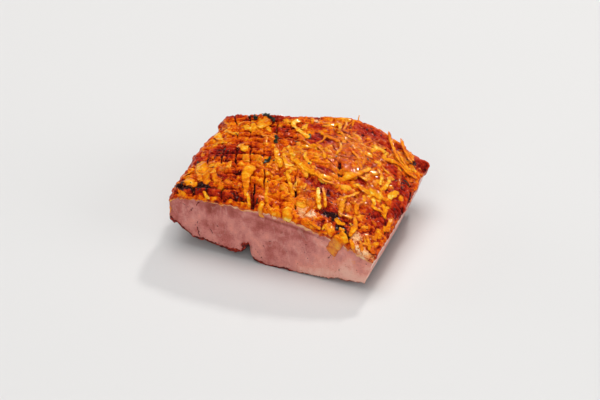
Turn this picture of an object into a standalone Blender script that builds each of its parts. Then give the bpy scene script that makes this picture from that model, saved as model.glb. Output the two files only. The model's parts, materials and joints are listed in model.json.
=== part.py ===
"""A boned piece of glazed ham: domed, scored top, cut front face, cut right-hand end, and strips of orange peel on the glaze.

Metres, +Z up. The cut front face looks along -Y, the cut end along +X. The ham rests on the flat of its rounded underside.
"""

import math

import bmesh
import bpy
from mathutils import Vector, noise

MM = 0.001

# The block, before its ends lean. The front face is cut flat, and the back is rounded in plan.
LEFT, RIGHT = -92 * MM, 99.5 * MM
FRONT, BACK = -65 * MM, 65 * MM
BACK_BULGE = 12 * MM
BULGE_PLACE, BULGE_WIDTH = 0.66, 0.27

# The glazed top: its height over the four corners, and how far the middle domes up.
CORNER_HEIGHTS = {"front_left": 54 * MM, "front_right": 35.5 * MM, "back_left": 52 * MM, "back_right": 46 * MM}
DOME, MIDDLE_DOME = 16 * MM, 9 * MM
BACK_CROWN, CROWN_PLACE, CROWN_WIDTH = 9 * MM, 0.64, 0.27
DOME_FLATNESS = 2.3

# The underside: flat where it rests, and rising to both ends and to the back.
REST_LEFT, REST_RIGHT = -16 * MM, 32 * MM
LEFT_RISE, RIGHT_RISE, BACK_RISE = 26 * MM, 8 * MM, 6 * MM
RISE_POWER = 1.3

# The roasted left end and back are rounded, and the cut right end leans out towards its top.
ROAST_RADIUS = 5 * MM
CUT_LEAN, CUT_BOW = 0.29, 2.0 * MM
LEFT_BULGE = 1.0 * MM
ROUGHNESS, WALL_ROUGHNESS = 1.0 * MM, 1.8 * MM

# The scoring: two sets of knife cuts that cross in diamonds.
SCORE_WIDTH, SCORE_DEPTH = 2.2 * MM, 3.4 * MM
LONG_SCORES = {"bearing": 113, "spacing": 12.4 * MM, "start": 1.0 * MM}
CROSS_SCORES = {"bearing": 3, "spacing": 12.2 * MM, "start": -1.2 * MM}
SCORE_STEP = 22 * MM
FEWEST_SCORE_STEPS = 4

# The cleft between the two muscles, which opens in the underside and shows in the front face.
CLEFT_X, CLEFT_HEIGHT, CLEFT_WIDTH = -18 * MM, 19 * MM, 11 * MM
CLEFT_DRIFT = 14 * MM

# The grid that the block is bent from: cuts along X, Y and Z.
CUTS = (20, 14, 3)
CROWDING = 0.5

PEEL_THICKNESS, PEEL_GAP = 1.3 * MM, 0.8 * MM
PEEL_STEP = 2.7 * MM
FOLD_LIFT, FOLD_REACH = 2.6 * MM, 3.6 * MM

# Peel: route over the top in mm (x, y), where y beyond the front face hangs down it; then width and arch in mm.
PEELS = {
    "peel_flake_broad": ([(-30, -24), (-29, -36), (-27, -48)], 11, 1.5),
    "peel_chunk_back": ([(-54, 55), (-47, 49), (-39, 43)], 12, 2.0),
    "peel_flake_left": ([(-83, -17), (-77, -27), (-68, -35)], 12, 1.5),
    "peel_chunk_left": ([(-84, -43), (-78, -49), (-71, -54)], 10, 1.5),
    "peel_flake_edge": ([(-87, 31), (-83, 25), (-77, 17)], 9, 1.0),
    "peel_hook": ([(-17, 60), (-20, 50), (-12, 40), (3, 30)], 6, 2.5),
    "peel_strand_lit": ([(-19, 7), (-14, -4), (-5, -16)], 5, 2.0),
    "peel_strand_middle": ([(1, -19), (8, -30), (17, -43)], 4, 1.5),
    "peel_strand_long": ([(2, -4), (14, -11), (28, -14), (40, -13)], 5, 2.5),
    "peel_strand_rising": ([(46, -10), (53, -3), (60, 8), (65, 20)], 5, 3.0),
    "peel_strand_right": ([(76, 60), (84, 52), (94, 42)], 5, 2.0),
    "peel_flake_right": ([(93, 15), (91, 8), (88, 1)], 6, 1.0),
    "peel_strand_corner": ([(72, -38), (75, -47), (74, -57)], 5, 1.5),
    "peel_drape_front": ([(69, -57), (66, -65), (62, -75), (59, -85)], 13, 0.6),
    "peel_tab_front": ([(-6, -57), (-5, -65), (-4, -73)], 5, 0.6),
    "peel_flake_front": ([(17, -55), (20, -62), (22, -69)], 10, 0.6),
}

LEAN_COLOUR = (0.50, 0.21, 0.17, 1)
PEEL_COLOUR = (0.90, 0.42, 0.05, 1)


def smooth(t):
    """0 below 0, 1 above 1, and an even curve between."""
    t = min(max(t, 0.0), 1.0)
    return t * t * (3 - 2 * t)


def along(x):
    """Share of the length from the left end."""
    return (x - LEFT) / (RIGHT - LEFT)


def bell(value, place, width):
    return math.exp(-(((value - place) / width) ** 2))


def back_edge(x):
    """Y of the back, which bulges in plan."""
    return BACK + BACK_BULGE * bell(along(x), BULGE_PLACE, BULGE_WIDTH)


def roll_off(distance):
    """How far a surface has dropped at this distance from a roasted side, round a quarter circle."""
    inside = min(max(distance / ROAST_RADIUS, 0.0), 1.0)
    return ROAST_RADIUS * (1 - math.sqrt(1 - (1 - inside) ** 2))


def top_height(x, y):
    """Height of the glazed top, before it rolls off at the roasted sides."""
    u = along(x)
    v = (y - FRONT) / (BACK - FRONT)
    front = CORNER_HEIGHTS["front_left"] * (1 - u) + CORNER_HEIGHTS["front_right"] * u
    back = CORNER_HEIGHTS["back_left"] * (1 - u) + CORNER_HEIGHTS["back_right"] * u
    level = front + (back - front) * v
    across = 1 - abs(2 * min(max(u, 0.0), 1.0) - 1) ** DOME_FLATNESS
    dome = DOME + MIDDLE_DOME * math.sin(math.pi * min(max(v, 0.0), 1.0))
    crown = BACK_CROWN * bell(u, CROWN_PLACE, CROWN_WIDTH) * max(v, 0.0) ** 1.5
    return level + dome * across + crown + ROUGHNESS * rough((x, y, 0), 15 * MM, 5)


def lean_at(x, y, z):
    """How far the leaning, slightly bowed cut end moves this point of the upright block along X."""
    v = min(max((y - FRONT) / (BACK - FRONT), 0.0), 1.0)
    bow = CUT_BOW * math.sin(math.pi * v) * z / CORNER_HEIGHTS["front_right"]
    return (CUT_LEAN * (z - CORNER_HEIGHTS["front_right"]) + bow) * along(x) ** 3


def skin_height(x, y):
    """Height of the glazed top of the finished block, whose right end leans."""
    upright = x
    for _ in range(4):
        upright = x - lean_at(upright, y, top_height(upright, y))
    return top_height(upright, y)


def underside_height(x, y):
    """Height of the underside: flat in the middle, rising to both ends and to the back."""
    to_left = min(max((REST_LEFT - x) / (REST_LEFT - LEFT), 0.0), 1.0)
    to_right = min(max((x - REST_RIGHT) / (RIGHT - REST_RIGHT), 0.0), 1.0)
    to_back = smooth((y - 0.3 * BACK) / (back_edge(x) - 0.3 * BACK))
    return LEFT_RISE * to_left**RISE_POWER + RIGHT_RISE * to_right**RISE_POWER + BACK_RISE * to_back


def crowd(t):
    """Moves even grid lines towards both ends, where the surface turns most."""
    return t - CROWDING * math.sin(2 * math.pi * t) / (2 * math.pi)


def rough(point, size, seed):
    """A smooth random value from -1 to 1, the same each run."""
    return noise.noise(Vector(point) / size + Vector((seed, 3.7 * seed, 1.9 * seed)))


def block_point(a, b, c):
    """The place in the ham of a point of a cube from -1 to 1."""
    u, v, w = crowd((a + 1) / 2), crowd((b + 1) / 2), (c + 1) / 2
    x = LEFT + u * (RIGHT - LEFT)
    y = FRONT + v * (back_edge(x) - FRONT)
    from_side = min(x - LEFT, back_edge(x) - y)
    high = top_height(x, y) - roll_off(from_side)
    low = underside_height(x, y) + 0.6 * roll_off(from_side)
    z = low + w * (high - low)
    left_wall = -LEFT_BULGE * math.sin(math.pi * w) * (1 - u) ** 3
    point = Vector((x + left_wall + lean_at(x, y, z), y, z))
    # The roasted walls are uneven, the cut faces flat, and the foot dead flat.
    if (a < -0.999 or b > 0.999) and z > 1.5 * MM:
        point += Vector((min(a, 0), max(b, 0), 0)) * WALL_ROUGHNESS * rough(point, 16 * MM, 8)
    return point


def linked(name, mesh, collection):
    made = bpy.data.objects.new(name, mesh)
    collection.objects.link(made)
    return made


def finish(name, colour, roughness):
    """A plain Principled material."""
    material = bpy.data.materials.new(name)
    material.use_nodes = True
    shader = material.node_tree.nodes["Principled BSDF"]
    shader.inputs["Base Color"].default_value = colour
    shader.inputs["Roughness"].default_value = roughness
    shader.inputs["Metallic"].default_value = 0.0
    return material


def ham_block(collection):
    """The block of meat: a cube, cut into a grid and bent to shape."""
    mesh = bpy.data.meshes.new("ham")
    work = bmesh.new()
    bmesh.ops.create_cube(work, size=2)
    for axis, cuts in enumerate(CUTS):
        for i in range(1, cuts + 1):
            place = Vector((0, 0, 0))
            place[axis] = -1 + 2 * i / (cuts + 1)
            normal = Vector((0, 0, 0))
            normal[axis] = 1
            geometry = work.verts[:] + work.edges[:] + work.faces[:]
            bmesh.ops.bisect_plane(work, geom=geometry, plane_co=place, plane_no=normal, dist=1e-6)
    for vertex in work.verts:
        vertex.co = block_point(*vertex.co)
    bmesh.ops.recalc_face_normals(work, faces=work.faces)
    work.to_mesh(mesh)
    work.free()
    mesh.shade_smooth()
    mesh.set_sharp_from_angle(angle=math.radians(35))
    return linked("ham", mesh, collection)


def wedge_cutter(name, ridges, width, depth, height, collection):
    """A closed wedge along each ridge, as one mesh: width wide at the ridge, depth deep under it, height over it.

    A ridge is a list of (point, size), and size scales the wedge there. A negative depth points the wedge upwards.
    """
    spread = width / 2 * (1 + height / abs(depth))
    side = height if depth > 0 else -height
    section = bpy.data.curves.new(name + "_section", "CURVE")
    outline = section.splines.new("POLY")
    outline.points.add(2)
    for corner, place in zip(outline.points, ((-spread, side), (0, -depth), (spread, side))):
        corner.co = (*place, 0, 1)
    outline.use_cyclic_u = True
    section_object = linked(name + "_section", section, collection)

    path = bpy.data.curves.new(name, "CURVE")
    path.dimensions = "3D"
    path.twist_mode = "Z_UP"
    path.bevel_mode = "OBJECT"
    path.bevel_object = section_object
    path.use_fill_caps = True
    for ridge in ridges:
        line = path.splines.new("POLY")
        line.points.add(len(ridge) - 1)
        for corner, (point, size) in zip(line.points, ridge):
            corner.co = (*point, 1)
            corner.radius = size
    curve = linked(name + "_path", path, collection)

    bpy.context.view_layer.update()
    mesh = bpy.data.meshes.new_from_object(curve.evaluated_get(bpy.context.evaluated_depsgraph_get()))
    work = bmesh.new()
    work.from_mesh(mesh)
    bmesh.ops.remove_doubles(work, verts=work.verts, dist=1e-6)
    bmesh.ops.recalc_face_normals(work, faces=work.faces)
    work.to_mesh(mesh)
    work.free()
    cutter = linked(name, mesh, collection)
    cutter.matrix_world = curve.matrix_world
    cutter.hide_render = True
    cutter.display_type = "WIRE"
    bpy.data.objects.remove(curve)
    bpy.data.objects.remove(section_object)
    return cutter


def score_cutter(name, bearing, spacing, start, collection):
    """Parallel knife cuts over the whole top, at this bearing in degrees from +X, following the dome.

    One of them passes the origin at the distance start, and the others are spaced from it.
    """
    angle = math.radians(bearing)
    line = Vector((math.cos(angle), math.sin(angle), 0))
    side = Vector((-line.y, line.x, 0))
    reach = math.hypot(RIGHT - LEFT, BACK + BACK_BULGE - FRONT)
    steps = int(reach / SCORE_STEP)
    lines = int(reach / spacing)
    ridges = []
    for i in range(-lines // 2, lines // 2 + 1):
        wander = start + 0.07 * spacing * math.sin(2.4 * i)
        ridge = []
        for k in range(steps + 1):
            place = side * (i * spacing + wander) + line * (k / steps - 0.5) * reach
            if LEFT - 12 * MM < place.x < RIGHT + 16 * MM and FRONT - 12 * MM < place.y < back_edge(place.x) + 6 * MM:
                place.z = skin_height(place.x, place.y)
                ridge.append((place, 1))
        if len(ridge) >= FEWEST_SCORE_STEPS:
            ridges.append(ridge)
    return wedge_cutter(name, ridges, SCORE_WIDTH, SCORE_DEPTH, 2 * SCORE_DEPTH, collection)


def cleft_cutter(collection):
    """The gap between the muscles: an upright wedge that runs back under the ham and gets lower."""
    ridge = []
    steps = 6
    for k in range(steps + 1):
        share = k / steps
        y = FRONT - 6 * MM + share * (BACK - FRONT + 34 * MM)
        x = CLEFT_X + CLEFT_DRIFT * math.sin(2.1 * share) * share
        ridge.append((Vector((x, y, 0)), 1 - 0.5 * share))
    return wedge_cutter("cleft_cutter", [ridge], CLEFT_WIDTH, -CLEFT_HEIGHT, 6 * MM, collection)


def cut(target, cutter):
    step = target.modifiers.new(cutter.name, "BOOLEAN")
    step.operation = "DIFFERENCE"
    step.solver = "MANIFOLD"
    step.object = cutter


def over_skin(x, y, lift):
    """The point at this lift over the top, with y beyond the front face carried round the edge and down it."""
    turn = 0.6 * MM
    past = (FRONT + turn) - y
    lift += FOLD_LIFT * bell(past, turn, FOLD_REACH)
    if past <= 0:
        return Vector((x, y, skin_height(x, y) + lift))
    radius = turn + lift
    centre = Vector((x, FRONT + turn, skin_height(x, FRONT + turn) - turn))
    bend = min(past / turn, math.pi / 2)
    point = centre + Vector((0, -math.sin(bend), math.cos(bend))) * radius
    return point - Vector((0, 0, max(past - turn * math.pi / 2, 0.0)))


def on_route(route, share):
    """The point and the direction at this share of a smooth line through the route's points."""
    spans = len(route) - 1
    place = min(share * spans, spans - 1e-9)
    i = int(place)
    t = place - i
    ends = [route[min(max(i + k, 0), spans)] for k in (-1, 0, 1, 2)]
    p0, p1, p2, p3 = (Vector(end) * MM for end in ends)
    point = 0.5 * (2 * p1 + (p2 - p0) * t + (2 * p0 - 5 * p1 + 4 * p2 - p3) * t**2 + (3 * p1 - p0 - 3 * p2 + p3) * t**3)
    slope = (p2 - p0) + 2 * (2 * p0 - 5 * p1 + 4 * p2 - p3) * t + 3 * (3 * p1 - p0 - 3 * p2 + p3) * t**2
    return point, slope.normalized()


def peel(name, route, width, arch, collection, material):
    """One strip of peel: a grid laid along its route over the top, then given its thickness."""
    mesh = bpy.data.meshes.new(name)
    work = bmesh.new()
    length = sum(math.dist(first, second) for first, second in zip(route, route[1:])) * MM
    bmesh.ops.create_grid(work, x_segments=max(6, round(length / PEEL_STEP)), y_segments=2, size=1)
    for vertex in work.verts:
        share, across = (vertex.co.x + 1) / 2, vertex.co.y
        point, heading = on_route(route, share)
        side = Vector((-heading.y, heading.x))
        taper = 0.45 + 0.55 * math.sin(math.pi * (0.08 + 0.84 * share))
        ragged = 1 + 0.12 * noise.noise(Vector((9 * share, 4 * across, len(name))))
        point = point + side * (across * width * MM / 2 * taper * ragged)
        lift = PEEL_GAP + arch * MM * math.sin(math.pi * share)
        vertex.co = over_skin(point.x, point.y, lift)
    work.to_mesh(mesh)
    work.free()
    made = linked(name, mesh, collection)
    made.data.materials.append(material)
    shell = made.modifiers.new("thickness", "SOLIDIFY")
    shell.thickness = PEEL_THICKNESS
    shell.offset = 1
    return made


def settle(made):
    """Moves everything so that the bottom centre of its box is the origin, by way of one parent empty."""
    bpy.context.view_layer.update()
    graph = bpy.context.evaluated_depsgraph_get()
    corners = []
    for item in made:
        mesh = item.evaluated_get(graph).to_mesh()
        corners += [item.matrix_world @ vertex.co for vertex in mesh.vertices]
    middle = [(min(p[i] for p in corners) + max(p[i] for p in corners)) / 2 for i in (0, 1)]
    floor = min(p.z for p in corners)
    frame = bpy.data.objects.new("ham_frame", None)
    bpy.context.scene.collection.objects.link(frame)
    for item in bpy.data.objects:
        if item != frame:
            item.parent = frame
    frame.location = (-middle[0], -middle[1], -floor)
    print("moved by", [round(v / MM, 3) for v in frame.location], "mm")


def main():
    for item in list(bpy.data.objects):
        bpy.data.objects.remove(item)
    glazed_ham = bpy.data.collections.new("glazed_ham")
    cutters = bpy.data.collections.new("cutters")
    bpy.context.scene.collection.children.link(glazed_ham)
    bpy.context.scene.collection.children.link(cutters)

    block = ham_block(glazed_ham)
    block.data.materials.append(finish("roast_ham", LEAN_COLOUR, 0.45))
    cut(block, cleft_cutter(cutters))
    cut(block, score_cutter("cross_scores", **CROSS_SCORES, collection=cutters))
    cut(block, score_cutter("long_scores", **LONG_SCORES, collection=cutters))

    peel_finish = finish("orange_peel", PEEL_COLOUR, 0.25)
    made = [block]
    for name, (route, width, arch) in PEELS.items():
        made.append(peel(name, route, width, arch, glazed_ham, peel_finish))
    settle(made)


main()
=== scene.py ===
"""The looks of a boned, glazed ham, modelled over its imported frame.

The meat, the scored crust and the large pieces of peel stand for the frame's own solids. Fine shreds, flakes, crumbs,
herbs and char are strewn over the crust with Geometry Nodes. Sizes in the classes are millimetres in the butcher's
frame: X runs along the cut front face, Y to the back, Z up from the dish.
"""

from __future__ import annotations

import itertools
import json
import logging
import math
from dataclasses import dataclass
from enum import Enum
from typing import Any, Sequence

import bmesh
import bpy
import numpy as np
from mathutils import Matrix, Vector

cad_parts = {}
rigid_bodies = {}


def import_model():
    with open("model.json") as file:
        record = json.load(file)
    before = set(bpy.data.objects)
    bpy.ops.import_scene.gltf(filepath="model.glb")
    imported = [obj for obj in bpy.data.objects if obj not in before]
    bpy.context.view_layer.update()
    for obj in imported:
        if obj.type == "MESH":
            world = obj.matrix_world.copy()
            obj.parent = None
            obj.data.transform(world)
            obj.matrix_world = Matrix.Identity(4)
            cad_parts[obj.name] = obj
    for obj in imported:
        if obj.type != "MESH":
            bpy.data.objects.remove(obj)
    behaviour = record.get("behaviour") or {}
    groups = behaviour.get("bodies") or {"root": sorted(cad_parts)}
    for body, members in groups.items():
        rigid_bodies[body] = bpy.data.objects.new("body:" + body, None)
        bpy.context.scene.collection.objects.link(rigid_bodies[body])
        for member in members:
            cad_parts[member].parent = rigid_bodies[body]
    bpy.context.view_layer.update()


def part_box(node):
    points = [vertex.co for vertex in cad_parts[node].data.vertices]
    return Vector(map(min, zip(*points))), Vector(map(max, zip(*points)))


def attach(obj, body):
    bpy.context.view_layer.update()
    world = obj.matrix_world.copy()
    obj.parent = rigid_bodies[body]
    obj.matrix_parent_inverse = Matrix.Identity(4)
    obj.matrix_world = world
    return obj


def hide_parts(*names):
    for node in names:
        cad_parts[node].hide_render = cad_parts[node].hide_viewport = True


log = logging.getLogger("glazed_ham")

MM = 0.001
NEARLY_NONE = 1e-6
Array = np.ndarray
Colour = tuple[float, float, float]
Stops = tuple[tuple[float, Colour], ...]


def srgb(red: int, green: int, blue: int) -> Colour:
    """Turns a colour as seen on a screen into linear light.

    Args:
        red: Red from 0 to 255.
        green: Green from 0 to 255.
        blue: Blue from 0 to 255.

    Returns:
        The three linear values.
    """
    shares = (channel / 255 for channel in (red, green, blue))
    return tuple(s / 12.92 if s <= 0.04045 else ((s + 0.055) / 1.055) ** 2.4 for s in shares)


def each(kind: Any, *rows: Sequence[Any]) -> tuple[Any, ...]:
    """One thing of a kind for each row of its values."""
    return tuple(kind(*row) for row in rows)


def stops(*rows: tuple[float, int, int, int]) -> Stops:
    """Places along a ramp, each with its colour as seen on a screen."""
    return tuple((place, srgb(*colour)) for place, *colour in rows)


def hump(value: Array, middle: float, reach: float) -> Array:
    """1 at the middle, falling smoothly to nearly 0 at twice the reach."""
    return np.exp(-(((value - middle) / reach) ** 2))


def ease(value: Array) -> Array:
    """Smooth step from 0 to 1 of values clipped to that range."""
    value = np.clip(value, 0.0, 1.0)
    return value * value * (3 - 2 * value)


def flat(x: Array, y: Array) -> Array:
    """Points with these X and Y, and a Z of 0."""
    return np.stack([x, y, np.zeros_like(x)], axis=-1)


class Noise:
    """Smooth noise over arrays of points, the same each run."""

    axis_primes = (374761393, 668265263, 1440662683)
    seed_prime = 974634777
    mixing_prime = 1274126177
    kept_bits = 0xFFFFFF
    channel_step = 31
    octave_shift = 17.3

    def __init__(self, seed: int) -> None:
        """Keeps the seed that sets this noise apart."""
        self.seed = seed

    def _value_at(self, cell: Array, channel: int = 0) -> Array:
        """A value from -1 to 1 for each whole-number cell."""
        own = self.seed + self.channel_step * channel
        mixed = cell.astype(np.int64) @ np.array(self.axis_primes) + own * self.seed_prime
        mixed = (mixed ^ (mixed >> 13)) * self.mixing_prime
        mixed = mixed ^ (mixed >> 16)
        return (mixed & self.kept_bits) / (self.kept_bits >> 1) - 1.0

    def value(self, points: Array, size: float) -> Array:
        """Smooth noise from -1 to 1.

        Args:
            points: Places, three coordinates each.
            size: Distance between the noise's knots.

        Returns:
            One value for each place.
        """
        place = points / size
        cell = np.floor(place)
        part = place - cell
        part = part * part * (3 - 2 * part)
        total = np.zeros(points.shape[:-1])
        for corner in itertools.product((0, 1), repeat=3):
            step = np.array(corner)
            weight = np.prod(np.where(step == 1, part, 1 - part), axis=-1)
            total += weight * self._value_at(cell + step)
        return total

    def fractal(self, points: Array, size: float, octaves: int = 3) -> Array:
        """Noise summed over several sizes, each half of the last."""
        total = np.zeros(points.shape[:-1])
        for octave in range(octaves):
            total += 0.5**octave * self.value(points + self.octave_shift * octave, size / 2**octave)
        return total / (2 - 0.5 ** (octaves - 1))

    def pebbles(self, points: Array, size: float) -> Array:
        """Height from 0 to 1 of rounded pebbles that lie side by side in the plane.

        Args:
            points: Places, three coordinates each, of which X and Y count.
            size: Distance between pebbles.

        Returns:
            1 at the middle of each pebble, falling to 0 between them.
        """
        place = points / size
        cell = np.floor(place)
        cell[..., 2] = 0
        first = second = np.full(points.shape[:-1], np.inf)
        for step in itertools.product((-1, 0, 1), repeat=2):
            corner = cell + np.array([*step, 0])
            centre = np.stack([self._value_at(corner, channel) for channel in (1, 2)], axis=-1) * 0.5 + 0.5
            far = np.linalg.norm(corner[..., :2] + centre - place[..., :2], axis=-1)
            second = np.minimum(np.maximum(first, far), second)
            first = np.minimum(first, far)
        return ease(second - first)


@dataclass(frozen=True)
class Rough:
    """Roughness of two sizes: how high its broad and its fine lumps rise, and how far apart they are."""

    broad: float
    broad_size: float
    fine: float
    fine_size: float
    broad_shift: float = 0.0
    fine_shift: float = 0.0
    octaves: int = 3

    def at(self, noise: Noise, points: Array) -> Array:
        """The rise at these places, about 0."""
        broad = noise.fractal(points + self.broad_shift, self.broad_size, self.octaves)
        return self.broad * broad + self.fine * noise.value(points + self.fine_shift, self.fine_size)


@dataclass(frozen=True)
class Patch:
    """A soft oval area of the top: its middle, its reach along X and Y, and its strength."""

    x: float
    y: float
    reach_x: float
    reach_y: float
    strength: float = 1.0

    def at(self, x: Array, y: Array) -> Array:
        """How strongly the patch shows at these places."""
        return self.strength * np.exp(-(((x - self.x) / self.reach_x) ** 2) - ((y - self.y) / self.reach_y) ** 2)


def cover(patches: Sequence[Patch], x: Array, y: Array) -> Array:
    """How strongly any of several patches shows at these places."""
    clear = np.ones_like(x)
    for patch in patches:
        clear = clear * (1 - np.clip(patch.at(x, y), 0, 1))
    return 1 - clear


@dataclass(frozen=True)
class Scores:
    """One set of parallel knife cuts over the top."""

    bearing: float
    spacing: float
    start: float
    width: float
    depth: float
    seed: int

    def measure(self, x: Array, y: Array) -> tuple[Array, Array]:
        """Where places lie among the cuts.

        Args:
            x: Places along X.
            y: Places along Y.

        Returns:
            The distance to the nearest cut, and the share of the way from one cut to the next.
        """
        angle = math.radians(self.bearing)
        across = -math.sin(angle) * x + math.cos(angle) * y
        wander = Noise(self.seed).value(flat(x, y), 21.0) * 0.09 * self.spacing
        share = (across - self.start + wander) / self.spacing
        share = share - np.floor(share)
        return np.minimum(share, 1 - share) * self.spacing, share


def knots(pairs: Sequence[tuple[float, float]], at: Array) -> Array:
    """Values read along straight lines between pairs of place and value."""
    places, values = zip(*pairs)
    return np.interp(at, places, values)


@dataclass(frozen=True)
class HamForm:
    """The shape of the joint: its plan, its domed top, its underside and its cut faces."""

    left: float = -92.0
    right: float = 99.5
    front: float = -65.0
    back: float = 65.0
    back_bulge: float = 12.0
    bulge_place: float = 0.66
    bulge_reach: float = 0.27
    front_left: float = 54.0
    front_right: float = 35.5
    back_left: float = 52.0
    back_right: float = 46.0
    dome: float = 16.0
    middle_dome: float = 9.0
    dome_power: float = 2.3
    crown: float = 9.0
    crown_place: float = 0.64
    crown_reach: float = 0.27
    lean: float = 0.29
    bow: float = 2.0
    rest_left: float = -16.0
    rest_right: float = 32.0
    left_rise: float = 26.0
    right_rise: float = 8.0
    back_rise: float = 6.0
    rise_power: float = 1.3
    foot_reach: float = 24.0
    cleft_x: float = -18.0
    cleft_height: float = 19.0
    cleft_width: float = 11.0
    cleft_drift: float = 14.0
    foot: tuple[tuple[float, float], ...] = (
        (-92, 25), (-88, 22), (-84.5, 23.5), (-80, 18.5), (-74, 15.5), (-70, 12.5), (-55, 10), (-40, 7.5), (-30, 6.3),
        (-23.5, 8.5), (-20, 13), (-17.5, 19), (-16, 18.5), (-15, 13), (-14, 7), (-11.5, 2.6), (-5, 0.8), (2, 0.2),
        (14, 0.2), (18, 1.2), (24, 0.6), (40, 1), (57, 2), (74, 4), (87, 5.5), (99.5, 7.8))

    def along(self, x: Array) -> Array:
        """Share of the length from the left end."""
        return (x - self.left) / (self.right - self.left)

    def deep(self, y: Array) -> Array:
        """Share of the depth from the front face."""
        return (y - self.front) / (self.back - self.front)

    def back_edge(self, u: Array) -> Array:
        """Y of the back at this share of the length."""
        return self.back + self.back_bulge * hump(u, self.bulge_place, self.bulge_reach)

    def top(self, x: Array, y: Array) -> Array:
        """Height of the upright block's smooth top."""
        u, v = self.along(x), self.deep(y)
        front = self.front_left * (1 - u) + self.front_right * u
        back = self.back_left * (1 - u) + self.back_right * u
        across = 1 - np.abs(2 * np.clip(u, 0, 1) - 1) ** self.dome_power
        dome = self.dome + self.middle_dome * np.sin(math.pi * np.clip(v, 0, 1))
        crown = self.crown * hump(u, self.crown_place, self.crown_reach) * np.clip(v, 0, 2) ** 1.5
        return front + (back - front) * v + dome * across + crown

    def leaned(self, x: Array, y: Array, z: Array) -> Array:
        """X of a point of the upright block once the cut right end leans out and bows."""
        bow = self.bow * np.sin(math.pi * np.clip(self.deep(y), 0, 1)) * z / self.front_right
        return x + (self.lean * (z - self.front_right) + bow) * np.clip(self.along(x), 0, 1.05) ** 3

    def upright(self, x: Array, y: Array) -> Array:
        """X in the upright block of a point of the finished joint's top."""
        found = x
        for _ in range(4):
            found = found + x - self.leaned(found, y, self.top(found, y))
        return found

    def skin(self, x: Array, y: Array) -> Array:
        """Height of the finished joint's smooth top."""
        return self.top(self.upright(x, y), y)

    def underside(self, x: Array, y: Array) -> Array:
        """Height of the underside, with the cleft between the two muscles and the worn line of the front."""
        to_left = np.clip((self.rest_left - x) / (self.rest_left - self.left), 0, 1.05) ** self.rise_power
        to_right = np.clip((x - self.rest_right) / (self.right - self.rest_right), 0, 1.05) ** self.rise_power
        to_back = ease((y - 0.3 * self.back) / (self.back_edge(self.along(x)) - 0.3 * self.back))
        flesh = self.left_rise * to_left + self.right_rise * to_right + self.back_rise * to_back
        share = (y - self.front + 6) / (self.back - self.front + 34)
        middle = self.cleft_x + self.cleft_drift * np.sin(2.1 * share) * share
        size = 1 - 0.5 * share
        off = np.abs(x - middle) / (0.5 * self.cleft_width * size)
        cleft = self.cleft_height * size * np.clip(1 - off, 0, 1) ** 0.85
        inner = np.maximum(flesh, cleft) + 0.35 * np.minimum(flesh, cleft)
        near = ease(1 - (y - self.front) / self.foot_reach)
        return inner + (knots(self.foot, x) - inner) * near


class Place:
    """Carries points from the butcher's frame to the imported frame."""

    off_middle = 4.15

    def __init__(self, form: HamForm) -> None:
        """Finds the shift between the frames from the ham's own box."""
        low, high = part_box("ham")
        middle = 0.5 * (low.x + high.x)
        self.shift = np.array([middle / MM - self.off_middle, low.y / MM - form.front, 0.0])

    def metres(self, points: Array) -> Array:
        """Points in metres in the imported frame."""
        return (points + self.shift) * MM


def show(name: str, data: Any) -> bpy.types.Object:
    """Makes an object of some data, and links it to the scene."""
    made = bpy.data.objects.new(name, data)
    bpy.context.scene.collection.objects.link(made)
    return made


def face_outwards(mesh: bpy.types.Mesh) -> None:
    """Turns a closed mesh's faces outwards, and shades it smooth."""
    work = bmesh.new()
    work.from_mesh(mesh)
    bmesh.ops.recalc_face_normals(work, faces=work.faces)
    work.to_mesh(mesh)
    work.free()
    mesh.shade_smooth()


def make_piece(name: str, points: Array, faces: Sequence[Sequence[int]], place: Place) -> bpy.types.Object:
    """Makes a closed, smooth mesh object at the origin.

    Args:
        name: Name of the object and its mesh.
        points: Vertices in millimetres in the butcher's frame.
        faces: Vertex numbers of each face.
        place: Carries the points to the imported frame.

    Returns:
        The new object, linked to the scene.
    """
    mesh = bpy.data.meshes.new(name)
    mesh.from_pydata(place.metres(points).tolist(), [], faces)
    face_outwards(mesh)
    return show(name, mesh)


def set_attributes(piece: bpy.types.Object, **values: Array) -> None:
    """Stores values for each vertex, each set under its name."""
    for name, stored in values.items():
        layer = piece.data.attributes.new(name, "FLOAT", "POINT")
        layer.data.foreach_set("value", np.ascontiguousarray(stored, dtype=np.float32))


class Graph:
    """Adds nodes to a tree and links them."""

    def __init__(self, tree: bpy.types.NodeTree) -> None:
        """Keeps the tree."""
        self.tree = tree

    def feed(self, socket: bpy.types.NodeSocket, value: Any) -> None:
        """Links a socket to another, or sets its value."""
        if isinstance(value, Value):
            self.tree.links.new(value.socket, socket)
        elif isinstance(value, tuple) and len(value) == 3 and socket.type == "RGBA":
            socket.default_value = (*value, 1.0)
        else:
            socket.default_value = value

    def pick(self, sockets: Sequence[bpy.types.NodeSocket], key: Any) -> bpy.types.NodeSocket:
        """The socket in use with this name or number."""
        used = [socket for socket in sockets if socket.enabled]
        return used[key] if isinstance(key, int) else next(socket for socket in used if socket.name == key)

    def add(self, kind: str, inputs: dict[Any, Any], out: Any = 0, **settings: Any) -> Value:
        """Adds a node, and links or sets its inputs.

        Args:
            kind: The node's type.
            inputs: What each input is fed, by its name or number.
            out: Name or number of the output that is wanted.
            **settings: The node's own settings.

        Returns:
            The output.
        """
        node = self.tree.nodes.new(kind)
        for name, value in settings.items():
            setattr(node, name, value)
        for key, value in inputs.items():
            self.feed(self.pick(node.inputs, key), value)
        return Value(self, self.pick(node.outputs, out), node)

    def maths(self, operation: str, first: Any, second: Any) -> Value:
        """One sum of two values."""
        return self.add("ShaderNodeMath", {0: first, 1: second}, operation=operation)


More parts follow.
